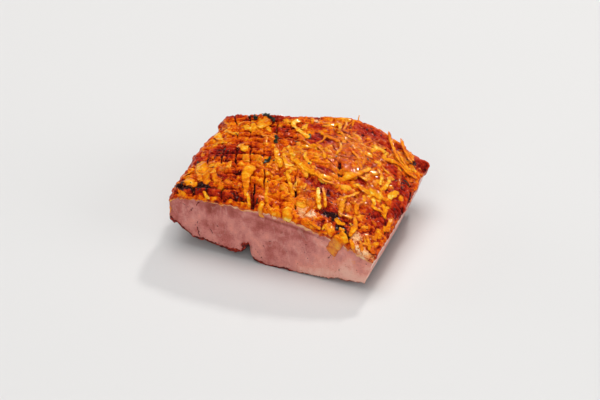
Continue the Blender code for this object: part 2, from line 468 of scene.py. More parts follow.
@dataclass(frozen=True)
class Value:
    """An output of a node. Sums with it add the nodes that work them out."""

    graph: Graph
    socket: bpy.types.NodeSocket
    node: bpy.types.Node

    def __add__(self, other: Any) -> Value:
        """The sum of the two."""
        return self.graph.maths("ADD", self, other)

    def __sub__(self, other: Any) -> Value:
        """This less the other."""
        return self.graph.maths("SUBTRACT", self, other)

    def __rsub__(self, other: Any) -> Value:
        """The other less this."""
        return self.graph.maths("SUBTRACT", other, self)

    def __mul__(self, other: Any) -> Value:
        """The product of the two."""
        return self.graph.maths("MULTIPLY", self, other)

    def larger(self, other: Any) -> Value:
        """The larger of the two."""
        return self.graph.maths("MAXIMUM", self, other)

    def swing(self, share: float) -> Value:
        """This about its middle, times share."""
        return (self - 0.5) * share

    def band(self, low: float, high: float) -> Value:
        """0 below low, 1 above high, smooth between. Turned round where low is the higher."""
        start, end, first, last = (low, high, 0.0, 1.0) if low < high else (high, low, 1.0, 0.0)
        ends = {"From Min": start, "From Max": end, "To Min": first, "To Max": last}
        return self.graph.add("ShaderNodeMapRange", {"Value": self, **ends}, interpolation_type="SMOOTHSTEP")

    def other(self, key: Any) -> Value:
        """Another output of the same node."""
        return Value(self.graph, self.graph.pick(self.node.outputs, key), self.node)


class Shader(Graph):
    """A material with one Principled shader, and the patterns that feed it."""

    def __init__(self, name: str) -> None:
        """Makes the material."""
        self.material = bpy.data.materials.new(name)
        self.material.use_nodes = True
        super().__init__(self.material.node_tree)
        self.place = self.add("ShaderNodeTexCoord", {}, "Object")

    def shade(self, **values: Any) -> bpy.types.Material:
        """Sets or links the shader's sockets, named with underscores for spaces, and returns the material."""
        for name, value in values.items():
            self.feed(self.tree.nodes["Principled BSDF"].inputs[name.replace("_", " ")], value)
        return self.material

    def stored(self, name: str) -> Value:
        """The value stored on the mesh under this name."""
        return self.add("ShaderNodeAttribute", {}, "Fac", attribute_name=name)

    def marked(self, name: str, ragged: Value, share: float, low: float, high: float) -> Value:
        """Where a stored value shows, with its edge broken up by a share of some noise."""
        return (self.stored(name) + ragged.swing(share)).band(low, high)

    def stretched(self, turn: tuple[float, float, float], scale: tuple[float, float, float]) -> Value:
        """Object coordinates, turned by these degrees and scaled."""
        inputs = {"Vector": self.place, "Rotation": tuple(math.radians(angle) for angle in turn), "Scale": scale}
        return self.add("ShaderNodeMapping", inputs)

    def noise(self, size: float, detail: float = 3.0, rough: float = 0.55, at: Value | None = None) -> Value:
        """Noise from 0 to 1 whose lumps are this many millimetres apart."""
        inputs = {"Vector": at or self.place, "Scale": 1.0 / (size * MM), "Detail": detail, "Roughness": rough}
        return self.add("ShaderNodeTexNoise", inputs, "Fac")

    def ridge(self, size: float, detail: float, rough: float, at: Value | None = None) -> Value:
        """How far noise is from its middle value, which draws fine branching lines where it is near 0."""
        return self.add("ShaderNodeMath", {0: self.noise(size, detail, rough, at) - 0.5}, operation="ABSOLUTE")

    def cells(self, size: float) -> Value:
        """Distance to the nearest of points this many millimetres apart."""
        return self.add("ShaderNodeTexVoronoi", {"Vector": self.place, "Scale": 1.0 / (size * MM)}, "Distance")

    def ramp(self, value: Value, along: Stops) -> Value:
        """A colour read from stops along a value from 0 to 1."""
        made = self.add("ShaderNodeValToRGB", {"Fac": value}, "Color")
        elements = made.node.color_ramp.elements
        while len(elements) < len(along):
            elements.new(0.5)
        for element, (position, colour) in zip(elements, along):
            element.position = position
            element.color = (*colour, 1.0)
        return made

    def mix(self, share: Any, first: Any, second: Any) -> Value:
        """Two colours mixed by a share."""
        return self.add("ShaderNodeMix", {"Factor": share, "A": first, "B": second}, data_type="RGBA")

    def bump(self, height: Value, depth: float, strength: float = 1.0) -> Value:
        """A normal that raises height by this many millimetres."""
        return self.add("ShaderNodeBump", {"Strength": strength, "Distance": depth * MM, "Height": height}, "Normal")


@dataclass(frozen=True)
class CrustFinish:
    """Glazed, scored fat: from near-black char through red-brown and orange to pale fat, under a wet coat."""

    glaze: Stops = stops(
        (0.00, 52, 8, 6), (0.13, 112, 16, 4), (0.25, 156, 34, 2), (0.38, 192, 60, 2),
        (0.52, 216, 88, 2), (0.66, 232, 116, 2), (0.82, 246, 148, 8), (1.00, 250, 180, 64))
    char: Colour = srgb(44, 16, 16)
    ruby: Stops = stops(
        (0.16, 70, 8, 6), (0.34, 136, 20, 8), (0.52, 180, 40, 12), (0.72, 206, 76, 22), (0.90, 228, 128, 60))
    fat: Stops = stops((0.2, 222, 128, 62), (0.5, 238, 172, 112), (0.8, 248, 214, 178))
    score_bearing: float = 113.0

    def make(self) -> bpy.types.Material:
        """The material."""
        nodes = Shader("glazed_crust")
        coarse, middling, fine = nodes.noise(8.0, 1.5, 0.6), nodes.noise(3.6, 2.0, 0.6), nodes.noise(1.5, 2.0, 0.6)
        strings = nodes.noise(3.0, 2.0, 0.6, nodes.stretched((0.0, 0.0, -self.score_bearing), (0.35, 1.0, 1.0)))
        mottle = coarse.swing(0.8) + middling.swing(1.15) + fine.swing(0.5) + strings.swing(0.75)
        tone = nodes.stored("tone") + mottle * nodes.stored("mottle")
        # Painted shade: the open knife cuts and slashes are darkened, and char colour is laid in them below.
        slit = nodes.stored("slit_far").band(0.8, 0.35) * nodes.stored("slit").band(0.35, 0.7)
        slit = (slit * 0.7).larger(nodes.stored("slash").band(0.25, 0.7))
        colour = nodes.ramp(tone - slit * 0.5, self.glaze)
        ruby = nodes.marked("ruby", middling, 0.9, 0.42, 0.62)
        colour = nodes.mix(ruby * 0.9, colour, nodes.ramp(tone * 0.6 + 0.27, self.ruby))
        fatty = nodes.marked("fat", fine, 0.8, 0.35, 0.62)
        colour = nodes.mix(fatty, colour, nodes.ramp(coarse + strings.swing(0.9), self.fat))
        # The char mask also takes in the cuts, as painted shade.
        burnt = nodes.marked("char", coarse, 0.9, 0.40, 0.60).larger(slit * 0.75)
        return nodes.shade(
            Base_Color=nodes.mix(burnt, colour, self.char), Roughness=nodes.noise(4.0) * 0.3 + 0.3,
            Normal=nodes.bump(middling + strings.swing(0.6) + fine.swing(0.5), 1.6, 0.9),
            Coat_Normal=nodes.bump(nodes.noise(3.2, 2.0, 0.5), 1.2, 0.9),
            Coat_Weight=0.55, Coat_Roughness=0.06, Coat_IOR=1.45, Specular_IOR_Level=0.04,
            Subsurface_Weight=0.12, Subsurface_Scale=0.003, Subsurface_Radius=(1.0, 0.3, 0.08))


@dataclass(frozen=True)
class MeatFinish:
    """Cured meat: rose where the knife went through, and dark red-brown where it roasted."""

    lean: Stops = stops(
        (0.05, 150, 66, 52), (0.33, 192, 106, 97), (0.50, 214, 136, 126), (0.68, 231, 151, 134), (0.92, 243, 187, 168))
    roast: Stops = stops(
        (0.10, 44, 10, 6), (0.32, 122, 32, 12), (0.50, 170, 60, 20), (0.68, 202, 96, 34), (0.92, 226, 134, 58))
    rim: Stops = stops((0.34, 22, 5, 4), (0.46, 104, 14, 5), (0.58, 170, 36, 10), (0.75, 214, 96, 40))
    # The pale colour of the right cut face: partly fat, partly painted light.
    fat: Colour = srgb(242, 206, 190)
    marbling: Colour = srgb(236, 192, 178)
    pore: Colour = srgb(86, 22, 16)
    smear: Colour = srgb(232, 140, 50)

    def make(self) -> bpy.types.Material:
        """The material."""
        nodes = Shader("cured_meat")
        grain = nodes.stretched((40, -42, 0), (1.0, 1.0, 0.35))
        across = nodes.stretched((-30, 50, 0), (1.0, 1.0, 0.25))
        cloudy, fibres = nodes.noise(16.0, 3.0, 0.5), nodes.noise(3.4, 2.0, 0.5, grain)
        speck = nodes.noise(1.3, 2.0, 0.6)
        tone = nodes.stored("tone") + cloudy.swing(1.15) + fibres.swing(0.28) + speck.swing(0.3)
        lean = nodes.ramp(tone, self.lean)
        veins = nodes.ridge(13.0, 2.0, 0.5, grain).band(0.030, 0.004)
        seams = nodes.ridge(18.0, 2.0, 0.5, across).band(0.024, 0.004)
        lines = veins.larger(seams) * nodes.noise(7.0, 2.0).band(0.50, 0.60)
        stained = nodes.noise(1.8, 1.0).band(0.62, 0.72)
        pores = nodes.cells(4.2).band(0.16, 0.08) * nodes.noise(9.0).band(0.50, 0.60)
        pores = pores.larger(nodes.marked("crack", speck, 0.6, 0.46, 0.68))
        rim = nodes.ramp(nodes.noise(3.6, 3.0, 0.6), self.rim)
        for share, colour in (
                (lines * 0.18, self.marbling), (stained * 0.25, self.lean[0][1]), (pores * 0.9, self.pore),
                (nodes.marked("fat", fibres, 0.7, 0.2, 0.8), self.fat),
                (nodes.marked("smear", speck, 1.2, 0.3, 0.85), self.smear),
                (nodes.marked("rim", speck, 0.9, 0.40, 0.60), rim)):
            lean = nodes.mix(share, lean, colour)
        runs = nodes.noise(4.0, 3.0, 0.6, nodes.stretched((0, 0, 0), (1.0, 1.0, 0.3)))
        lumps = nodes.noise(7.0, 4.0, 0.6)
        fissures = nodes.ridge(12.0, 3.0, 0.6).band(0.03, 0.0)
        roasted = lumps + runs.swing(0.8) + speck.swing(0.35) - fissures * 0.25
        roast = nodes.ramp(roasted - nodes.stored("foot") * 0.2, self.roast)
        cut = nodes.stored("cut").band(0.35, 0.65)
        outside = 1.0 - cut
        height = fibres + speck.swing(0.35) + outside * (lumps + runs.swing(1.2)) + outside * roasted
        return nodes.shade(
            Base_Color=nodes.mix(cut, roast, lean), Roughness=0.45 - outside * 0.12, Specular_IOR_Level=0.1,
            Normal=nodes.bump(height, 0.7, 0.8), Coat_Weight=0.2, Coat_Roughness=0.15,
            Subsurface_Weight=0.15, Subsurface_Scale=0.003, Subsurface_Radius=(1.0, 0.4, 0.3))


class PeelKind(Enum):
    """How far a piece of peel has candied."""

    GOLDEN = "golden"
    ORANGE = "orange"


@dataclass(frozen=True)
class PeelFinish:
    """Candied orange peel, partly clear, with a sticky shine."""

    kind: PeelKind
    golden: Stops = stops(
        (0.00, 160, 52, 2), (0.30, 210, 90, 2), (0.52, 234, 124, 2), (0.72, 244, 148, 8), (0.88, 250, 170, 26),
        (1.00, 255, 206, 96))
    orange: Stops = stops(
        (0.00, 134, 34, 6), (0.25, 190, 68, 6), (0.50, 222, 102, 8), (0.75, 240, 136, 12), (1.00, 246, 170, 40))

    def make(self) -> bpy.types.Material:
        """The material."""
        nodes = Shader("candied_peel_" + self.kind.value)
        tone = nodes.stored("tint") + nodes.noise(5.0, 3.0, 0.6).swing(1.3) + nodes.noise(2.0, 1.0, 0.5).swing(0.5)
        return nodes.shade(
            Base_Color=nodes.ramp(tone, self.golden if self.kind is PeelKind.GOLDEN else self.orange),
            Roughness=0.4, Specular_IOR_Level=0.06, Coat_Weight=1.0, Coat_Roughness=0.05, Coat_IOR=1.45,
            Subsurface_Weight=0.3, Subsurface_Scale=0.002, Subsurface_Radius=(1.0, 0.45, 0.06),
            Normal=nodes.bump(nodes.noise(2.6, 2.0, 0.5), 1.4, 0.9),
            Coat_Normal=nodes.bump(nodes.noise(4.0, 1.0, 0.5), 0.8, 0.7))


@dataclass(frozen=True)
class BitFinish:
    """A small dark or clear bit: char, herb or crumb."""

    name: str
    dark: Colour
    light: Colour
    roughness: float
    coat: float
    subsurface: float = 0.0

    def make(self) -> bpy.types.Material:
        """The material."""
        nodes = Shader(self.name)
        tone = nodes.stored("tint") + nodes.noise(1.2, 2.0).swing(0.5)
        return nodes.shade(
            Base_Color=nodes.ramp(tone, ((0.1, self.dark), (0.9, self.light))), Roughness=self.roughness,
            Coat_Weight=self.coat, Coat_Roughness=0.08, Subsurface_Weight=self.subsurface, Subsurface_Scale=0.003)


@dataclass(frozen=True)
class FloorFinish:
    """A plain, pale, matt table."""

    colour: Colour = srgb(215, 214, 213)

    def make(self) -> bpy.types.Material:
        """The material."""
        return Shader("pale_table").shade(Base_Color=self.colour, Roughness=0.8, Specular_IOR_Level=0.2)


class Sheet:
    """A grid of points over the joint's plan, and the ring of its border."""

    def __init__(self, form: HamForm, columns: int, rows: int) -> None:
        """Lays the grid out.

        Args:
            form: The joint's shape.
            columns: Steps along X.
            rows: Steps along Y.
        """
        self.form = form
        self.columns, self.rows = columns, rows
        u, v = np.meshgrid(np.linspace(0, 1, columns + 1), np.linspace(0, 1, rows + 1), indexing="ij")
        self.u, self.v = u.ravel(), v.ravel()
        back = form.back_edge(self.u)
        self.y = form.front + self.v * (back - form.front)
        self.x = form.left + self.u * (form.right - form.left)
        self.from_left = self.x - form.left
        self.from_right = form.right - self.x
        self.from_front = self.y - form.front
        self.from_back = back - self.y
        self.border = self._border()

    def number(self, i: Array, j: Array) -> Array:
        """Vertex number of the grid point at column i and row j."""
        return i * (self.rows + 1) + j

    def _border(self) -> Array:
        """Vertex numbers round the border, anticlockwise from the front left."""
        n, m = self.columns, self.rows
        return np.concatenate([
            self.number(np.arange(0, n), 0),
            self.number(n, np.arange(0, m)),
            self.number(np.arange(n, 0, -1), m),
            self.number(0, np.arange(m, 0, -1)),
        ])

    def faces(self, rings: int) -> list[Sequence[int]]:
        """The grid's quads, and those of rings of points that follow the grid's own and close it from its border."""
        i, j = np.meshgrid(np.arange(self.columns), np.arange(self.rows), indexing="ij")
        corners = (self.number(i, j), self.number(i + 1, j), self.number(i + 1, j + 1), self.number(i, j + 1))
        walls = len(self.x) + np.arange(rings * len(self.border)).reshape(rings, -1)
        return list(zip(*(corner.ravel().tolist() for corner in corners))) + ring_faces(np.vstack([self.border, walls]))


def ring_faces(rings: Array) -> list[Sequence[int]]:
    """Quads between rings of vertex numbers, one row for each ring, and a cap on the last."""
    faces: list[Sequence[int]] = []
    for first, second in zip(rings, rings[1:]):
        corners = (first, np.roll(first, -1), np.roll(second, -1), second)
        faces += list(zip(*(corner.tolist() for corner in corners)))
    return [*faces, rings[-1].tolist()]


def tube_faces(count: int, rings: int) -> list[Sequence[int]]:
    """The faces of a closed tube of this many points in rings, with both its ends capped."""
    numbers = np.arange(count).reshape(rings, -1)
    return ring_faces(numbers) + [numbers[0][::-1].tolist()]


@dataclass(frozen=True)
class Crack:
    """A narrow, straight opening in a flat of X and Z, or X and Y: its two ends, its width and its depth."""

    x0: float
    z0: float
    x1: float
    z1: float
    width: float = 0.9
    depth: float = 1.2

    def at(self, x: Array, z: Array) -> Array:
        """How far into the opening these places lie, from 0 to 1."""
        run = np.array([self.x1 - self.x0, self.z1 - self.z0])
        length = max(float(run @ run), NEARLY_NONE)
        share = np.clip(((x - self.x0) * run[0] + (z - self.z0) * run[1]) / length, 0, 1)
        far = np.hypot(x - self.x0 - share * run[0], z - self.z0 - share * run[1])
        return np.exp(-((far / self.width) ** 2))


@dataclass(frozen=True)
class Joint:
    """The meat: cut front and right faces, roasted left end, back and underside."""

    form: HamForm
    place: Place
    name: str = "ham_meat"
    seed: int = 3
    crack_seed: int = 6
    below_top: float = 3.5
    crack_depth: float = 1.4
    under_lumps: Rough = Rough(1.1, 9.0, 0.75, 2.7, fine_shift=5)
    cut_waves: Rough = Rough(0.4, 11.0, 0.14, 1.6)
    roast_lumps: Rough = Rough(1.6, 13.0, 0.6, 2.4, broad_shift=40)
    rim_waves: Rough = Rough(1.3, 5.0, 0.6, 2.0)
    quick_steps: tuple[int, int, int] = (120, 86, 26)
    full_steps: tuple[int, int, int] = (236, 168, 58)
    smears: tuple[Patch, ...] = each(Patch, (63, 27, 5, 3, 0.5), (84, 28, 9, 4, 0.4), (15, 54, 9, 2.5, 0.6))
    stains: tuple[Patch, ...] = each(Patch, (-19, 17, 6, 4), (18, 1, 8, 3.5))
    cracks: tuple[Crack, ...] = each(
        Crack, (-66, 48, -63.5, 51.5, 0.9), (-70.5, 41, -69.5, 43.5, 0.7), (-66, 24, -63.5, 15, 0.7),
        (-64.5, 31, -65, 28, 0.5), (-53, 25, -51, 20.5, 0.7), (-47, 31, -46, 29.5, 0.5), (-79, 47, -74, 44, 0.4),
        (3, 27.4, 3.2, 26.8, 0.7), (-3, 22, -2, 19, 0.5), (37, 34, 37.3, 33.8, 0.8), (62, 30.5, 58, 24, 0.5),
        (-6, 10.5, -5.6, 10.2, 0.6), (-4.2, 7.6, -4.0, 7.2, 0.7), (-8, 13, -7.6, 12.6, 0.5), (14, 41, 15, 40, 0.4),
        (72, 17, 71, 14, 0.4))

    def build(self) -> bpy.types.Object:
        """Makes the piece, with its attributes for the finish, and dresses it.

        Returns:
            The meat as one closed mesh.
        """
        form, noise = self.form, Noise(self.seed)
        columns, rows, walls = self.full_steps
        sheet = Sheet(form, columns, rows)
        low = self._underside(sheet, noise)
        ring = sheet.border
        x, y, base = sheet.x[ring], sheet.y[ring], low[ring]
        heights = base + np.linspace(0, 1, walls + 1)[:, None] * (form.top(x, y) - self.below_top - base)
        grid = np.stack([sheet.x, sheet.y, low], axis=-1)
        wall = np.stack([np.broadcast_to(x, heights.shape), np.broadcast_to(y, heights.shape), heights], axis=-1)
        points = np.concatenate([grid, wall.reshape(-1, 3)[len(ring):]])
        on_front = np.isclose(points[:, 1], form.front)
        on_right = np.isclose(points[:, 0], form.right)
        over = points[:, 2] - np.concatenate([low, np.tile(base, walls)])
        crack = on_front * self._opened(points[:, 0], points[:, 2])
        points = self._roughen(points, on_front, on_right, over, noise)
        points[:, 1] += self.crack_depth * crack
        points[:, 0] = form.leaned(*points.T)
        piece = make_piece(self.name, points, sheet.faces(walls), self.place)
        self._mark(piece, points, on_front, on_right, over, crack, noise)
        piece.data.materials.append(MeatFinish().make())
        return piece

    def _underside(self, sheet: Sheet, noise: Noise) -> Array:
        """Height of the underside over the sheet, rounded up at its roasted edges and roughened."""
        low = self.form.underside(sheet.x, sheet.y)
        place = flat(sheet.x, sheet.y)
        inside = ease(np.minimum.reduce([sheet.from_left, sheet.from_right, sheet.from_back]) / 9.0)
        low = low + 5.0 * (1 - inside) ** 2 * (sheet.from_front > 0.1) * (sheet.from_right > 0.1)
        lumps = self.under_lumps.at(noise, place) + 0.7 * noise.value(place, 5.0) * (sheet.from_front < 8)
        return np.maximum(low + lumps * (0.35 + 0.65 * ease(low / 4.0)), 0.0)

    def _opened(self, x: Array, z: Array) -> Array:
        """How far into a crack places of the front face lie, from 0 to 1."""
        place = flat(x, z)
        noise = Noise(self.crack_seed)
        x, z = (axis + 0.9 * noise.value(place + shift, 2.2) for axis, shift in ((x, 0), (z, 40)))
        return np.maximum.reduce([crack.at(x, z) for crack in self.cracks])

    def _roughen(self, points: Array, on_front: Array, on_right: Array, over: Array, noise: Noise) -> Array:
        """Gives the cut faces their slight waves and the roasted faces their lumps."""
        form = self.form
        x, y, z = points.T
        on_left, on_back = np.isclose(x, form.left), np.isclose(y, form.back_edge(form.along(x)))
        wavy, lumpy = self.cut_waves.at(noise, points), self.roast_lumps.at(noise, points)
        covered = 1 - ease((form.top(x, y) - z - 5) / 12)
        lumpy = lumpy * (1 - 0.7 * covered) + 2.0 * covered
        rounded = 1 - ease(over / 7.0)
        edge = (1 - ease(over / 2.4)) * (1 + 0.9 * noise.value(points, 2.6))
        moved = points.copy()
        moved[:, 1] += np.where(on_front, wavy + 1.1 * edge, 0.0)
        moved[:, 0] += np.where(on_right & ~on_front, wavy - 0.8 * edge, 0.0)
        moved[:, 0] += np.where(on_left, lumpy + 2.0 * rounded * (y > form.front + 2), 0.0)
        moved[:, 1] += np.where(on_back & ~on_left, -lumpy - 3.0 * rounded, 0.0)
        return moved

    def _mark(self, piece: bpy.types.Object, points: Array, on_front: Array, on_right: Array, over: Array,
              crack: Array, noise: Noise) -> None:
        """Stores the values that the finish reads."""
        form = self.form
        x, y, z = points.T
        under = form.skin(x, y) - z
        cut = np.maximum(on_front, on_right).astype(float)
        ragged = np.clip(1.0 + self.rim_waves.at(noise, points), 0.15, 2.6)
        left = 1 - ease((x + 30) / 60)
        low_end = (1 - ease((x - form.left - 0.5) / (6.0 * ragged))) * (1 - ease((z - 27) / 6))
        rim = np.maximum.reduce([
            (1 - ease((over - 0.8) / ((2.6 + 2.2 * left) * ragged))) * (0.5 + 0.5 * left), low_end,
            *(on_front * stain.at(x, z) for stain in self.stains)])
        tone = 0.46 - 0.10 * ease((form.left + 60 - x) / 60) + 0.09 * ease((x - 25) / 50)
        tone = tone - 0.10 * hump(over, 0, 9) * left + 0.16 * ease((x - 5) / 30) * ease((34 - z) / 24)
        tone = tone - 0.30 * on_front * hump(under, 8.5, 1.5) * ease((x + 30) / 30) * ease((60 - x) / 20)
        tone = tone - 0.12 * on_front * hump(under, 12, 9) * left
        # Painted light: the lower right of the front face is lightened, standing in for light thrown up from the table.
        tone = tone + 0.24 * ease((x - 15) / 30) * (1 - ease((z - 6) / 14))
        # Partly fat and partly painted light: the whole right cut face is made pale, most just under the crust,
        # standing in also for the light that falls on it from the right.
        fat = on_right * (0.36 + 0.64 * hump(under, 5, 5)) * (0.9 + 0.35 * noise.value(points, 8.0))
        smear = 0.6 * hump(over, 0, 0.9) * ease((x - 18) / 20) + 1.5 * hump(x, -93, 3) * ease((z - 24) / 6)
        smear = smear + sum(spot.at(x, z) for spot in self.smears)
        smear = on_front * np.clip(smear * (0.75 + noise.value(points, 2.4)), 0, 1)
        set_attributes(piece, cut=cut, rim=rim, tone=tone, fat=np.clip(fat, 0, 1), smear=smear, crack=crack,
                       foot=hump(over, 0, 6) * (1 - ease((x - 10) / 20)) * (1 - cut))


@dataclass(frozen=True)
class Crust:
    """The scored and glazed top: a slab that rolls over the roasted sides and ends in beads over the cut face."""

    form: HamForm
    place: Place
    name: str = "glazed_crust"
    seed: int = 7
    relief_seed: int = 21
    slash_seed: int = 22
    quick_steps: tuple[int, int] = (240, 172)
    full_steps: tuple[int, int] = (310, 222)
    rings: int = 11
    tucks: tuple[tuple[float, float], ...] = ((1.5, 0.0), (6.0, 0.1))
    pillow: float = 1.1
    sunk: float = 0.9
    rolls: tuple[float, float, float, float] = (4.5, 5.5, 2.4, 1.4)
    top_lumps: Rough = Rough(1.2, 8.0, 0.7, 3.1, octaves=2)
    torn: Rough = Rough(1.0, 6.0, 0.7, 2.2)
    drips: Rough = Rough(1.0, 15.0, 0.16, 5.0, broad_shift=70, octaves=2)
    side_lumps: Rough = Rough(1.3, 8.0, 0.6, 2.8, broad_shift=15)
    left_waves: Rough = Rough(1.7, 12.0, 0.9, 3.0)
    back_waves: Rough = Rough(1.4, 10.0, 0.7, 2.6, broad_shift=60)
    right_waves: Rough = Rough(1.6, 8.0, 0.9, 2.6, broad_shift=30, fine_shift=9)
    flap: Patch = Patch(97, 65, 6, 6)
    flap_out: float = 1.5
    flap_up: float = 4.0
    long_cuts: Scores = Scores(bearing=113, spacing=12.4, start=1.0, width=0.6, depth=2.8, seed=11)
    cross_cuts: Scores = Scores(bearing=3, spacing=9.6, start=-1.8, width=1.0, depth=2.4, seed=12)
    opened: tuple[Patch, ...] = each(
        Patch, (-51, -9, 11, 13), (-35, -3, 7, 10), (-14, -30, 9, 14), (-16, -58, 8, 13), (12, -36, 9, 17),
        (40, 1, 7, 11), (-48, -60, 7, 10), (-70, -8, 16, 12), (-76, 56, 14, 12, 0.9), (-30, 42, 9, 12),
        (-60, 30, 12, 14, 0.7), (70, -30, 9, 8, 0.6), (28, 22, 9, 12, 0.6), (-78, -56, 14, 8), (33, 56, 12, 12, 0.5))
    red: tuple[Patch, ...] = each(
        Patch, (-70, -2, 26, 7.5, 0.95), (-55, -40, 12, 7, 0.9), (-35, -31, 7, 5, 0.6), (-82, -20, 9, 6, 0.8),
        (-31, 1, 9, 5, 0.7), (-78, -43, 15, 6, 0.7), (-54, 56, 10, 5, 0.5), (-72, -59, 26, 9, 0.7),
        (-34, -60, 16, 8, 0.4), (-11, -57, 6, 7, 0.4), (-82, 62, 10, 7, 0.8), (-38, 63, 16, 6, 0.95),
        (-32, 41, 8, 7, 0.8), (-15, 30, 8, 8, 0.7), (-20, 44, 4, 9, 0.6), (2, 53, 11, 5, 0.95), (44, 66, 20, 6, 0.95),
        (11, 31, 10, 9, 0.8), (20, 40, 6, 6, 0.5), (28, -5, 12, 4, 0.85), (21, -20, 14, 6, 0.75),
        (44, -26, 16, 8, 0.75), (56, -46, 14, 9, 0.95), (66, -57, 11, 7, 0.95), (87, -25, 10, 12, 0.95),
        (80, 36, 8, 6, 0.8), (92, 22, 10, 15, 0.95), (97, 0, 6, 16, 0.98), (62, 2, 6, 4, 0.7), (97, 64, 9, 8, 0.9),
        (90, 57, 6, 5, 0.9), (94, -40, 6, 14, 0.6), (-90, -10, 6, 40, 0.5), (46, 8, 6, 16, 0.4))
    pale: tuple[Patch, ...] = each(
        Patch, (30, -47, 13, 9, 0.9), (8, -50, 16, 12, 0.55), (0, -12, 14, 11, 0.7), (-30, -14, 14, 10, 0.6),
        (18, 12, 20, 14, 0.6), (62, 28, 20, 14, 0.5), (-80, 20, 12, 9, 0.6), (-50, 38, 14, 8, 0.6),
        (80, 8, 12, 10, 0.5), (50, 40, 16, 10, 0.3), (-72, -38, 12, 8, 0.4), (24, 54, 8, 8, 0.6),
        (-6, -38, 13, 11, 0.8), (-54, 20, 14, 8, 0.7), (-30, 17, 9, 7, 0.6), (-52, -20, 12, 6, 0.6))
    fatty: tuple[Patch, ...] = each(
        Patch, (33, -54, 13, 8, 0.9), (78, -54, 8, 6.5, 1.0), (89, -63, 13, 3.8, 1.0), (18, -40, 10, 8, 0.45),
        (-1, 60, 5, 4, 0.8), (0, -8, 8, 6, 0.5), (2, -62, 10, 4, 0.5), (-24, -58, 6, 4, 0.4))
    burnt: tuple[Patch, ...] = each(
        Patch, (-84, -52, 15, 8, 1.0), (-66, -55, 13, 6, 0.95), (-48, -54, 11, 3.5, 0.8), (-36, -48, 5, 3, 0.7),
        (53, -45, 12, 8, 1.0), (65, -56, 10, 6, 1.0), (-64, -4, 15, 2.0, 0.6), (-70, -12, 9, 2.4, 0.65),
        (92, 28, 5, 4, 0.7), (98, 3, 3, 11, 0.7), (29, -5, 9, 2.2, 0.9), (36, -20, 5, 3, 0.6), (92, 58, 5, 4, 1.0),
        (-50, 62, 12, 4, 0.7), (80, -26, 3, 8, 0.5), (-12, -56, 3, 3, 0.8), (50, 68, 12, 3, 0.5),
        (-34, 36, 4, 4, 0.5))
    ruby: tuple[Patch, ...] = each(
        Patch, (92, 20, 8, 12, 0.9), (98, 2, 5.5, 13, 0.95), (87, -24, 10, 11, 0.9), (81, 36, 7, 5, 0.75),
        (97, 64, 8, 7, 0.8), (11, 31, 9, 9, 0.95), (46, 67, 20, 5, 0.95), (64, 61, 12, 4, 0.8),
        (-36, 61, 14, 6, 0.85), (2, 52, 11, 5, 0.85), (66, -55, 9, 5, 0.6), (30, -23, 18, 6, 0.6),
        (-68, -1, 24, 8, 0.8), (-60, -60, 28, 4.5, 0.6), (56, -43, 11, 7, 0.6), (-14, -56, 6, 6, 0.55),
        (26, 38, 5, 4, 0.6), (-80, 61, 12, 7, 0.75), (-58, -40, 13, 5, 0.75), (28, -5, 10, 3, 0.6),
        (-30, 41, 9, 7, 0.6), (62, 2, 5, 4, 0.6), (-86, -14, 8, 9, 0.55), (-32, -30, 8, 5, 0.5))
    amber: tuple[Patch, ...] = each(
        Patch, (60, -4, 16, 6, 0.8), (80, -6, 14, 7, 0.9), (88, -46, 9, 14, 0.9), (70, -28, 12, 12, 0.8),
        (86, 12, 10, 12, 0.6), (20, -60, 10, 6, 0.7), (-74, -38, 14, 12, 0.6), (-80, 26, 12, 12, 0.7),
        (-56, 46, 16, 8, 0.7), (10, 60, 22, 7, 0.6), (8, 18, 14, 8, 0.4), (56, 44, 16, 10, 0.35),
        (-4, -2, 8, 10, 0.6), (-86, -46, 8, 8, 0.7), (60, -60, 14, 6, 0.6), (-44, -46, 10, 6, 0.4),
        (0, -50, 14, 10, 0.25), (96, -20, 5, 12, 0.6))
    swells: tuple[Patch, ...] = each(
        Patch, (-56, 60, 34, 9, 3.4), (-84, 58, 10, 10, 1.5), (-10, 62, 14, 6, 1.2))
    slashes: tuple[Crack, ...] = each(
        Crack, (-21, -40, -12, -66, 0.8, 2.6), (13, -34, 21, -53, 0.7, 2.4), (35, 10, 43, -7, 0.9, 2.6),
        (96, 26, 99, 12, 0.8, 1.8), (96, 4, 101, -8, 0.8, 1.8), (90, -22, 95, -34, 0.7, 1.6))
    rim: tuple[tuple[float, float], ...] = (
        (-92, 3.0), (-80, 3.8), (-60, 3.4), (-40, 4.0), (-20, 4.2), (0, 3.6), (20, 2.6), (30, 3.6), (45, 3.8),
        (55, 3.6), (70, 3.0), (85, 4.2), (99, 2.2))
    bites: tuple[tuple[float, float, float], ...] = ((43, 4.5, 8), (-22, 2.0, 6), (-64, 4.0, 12), (2, -1.0, 6))

    def _moved(self, x: Array, y: Array, seed: int, by: float, size: float, shifts: Sequence[float]) -> list[Array]:
        """Places moved a little by some noise, so that cuts aren't quite straight."""
        return [axis + by * Noise(seed).value(flat(x, y) + shift, size) for axis, shift in zip((x, y), shifts)]

    def _warped(self, x: Array, y: Array) -> list[Array]:
        """Places moved so that the knife's long cuts wander."""
        return self._moved(x, y, self.relief_seed, 1.1, 7.0, (31, 57))

    def _slashed(self, x: Array, y: Array) -> list[Array]:
        """How far into each short slash these places lie, from 0 to 1."""
        wandered = self._moved(x, y, self.slash_seed, 0.6, 4.0, (11, 27))
        return [slash.at(*wandered) for slash in self.slashes]

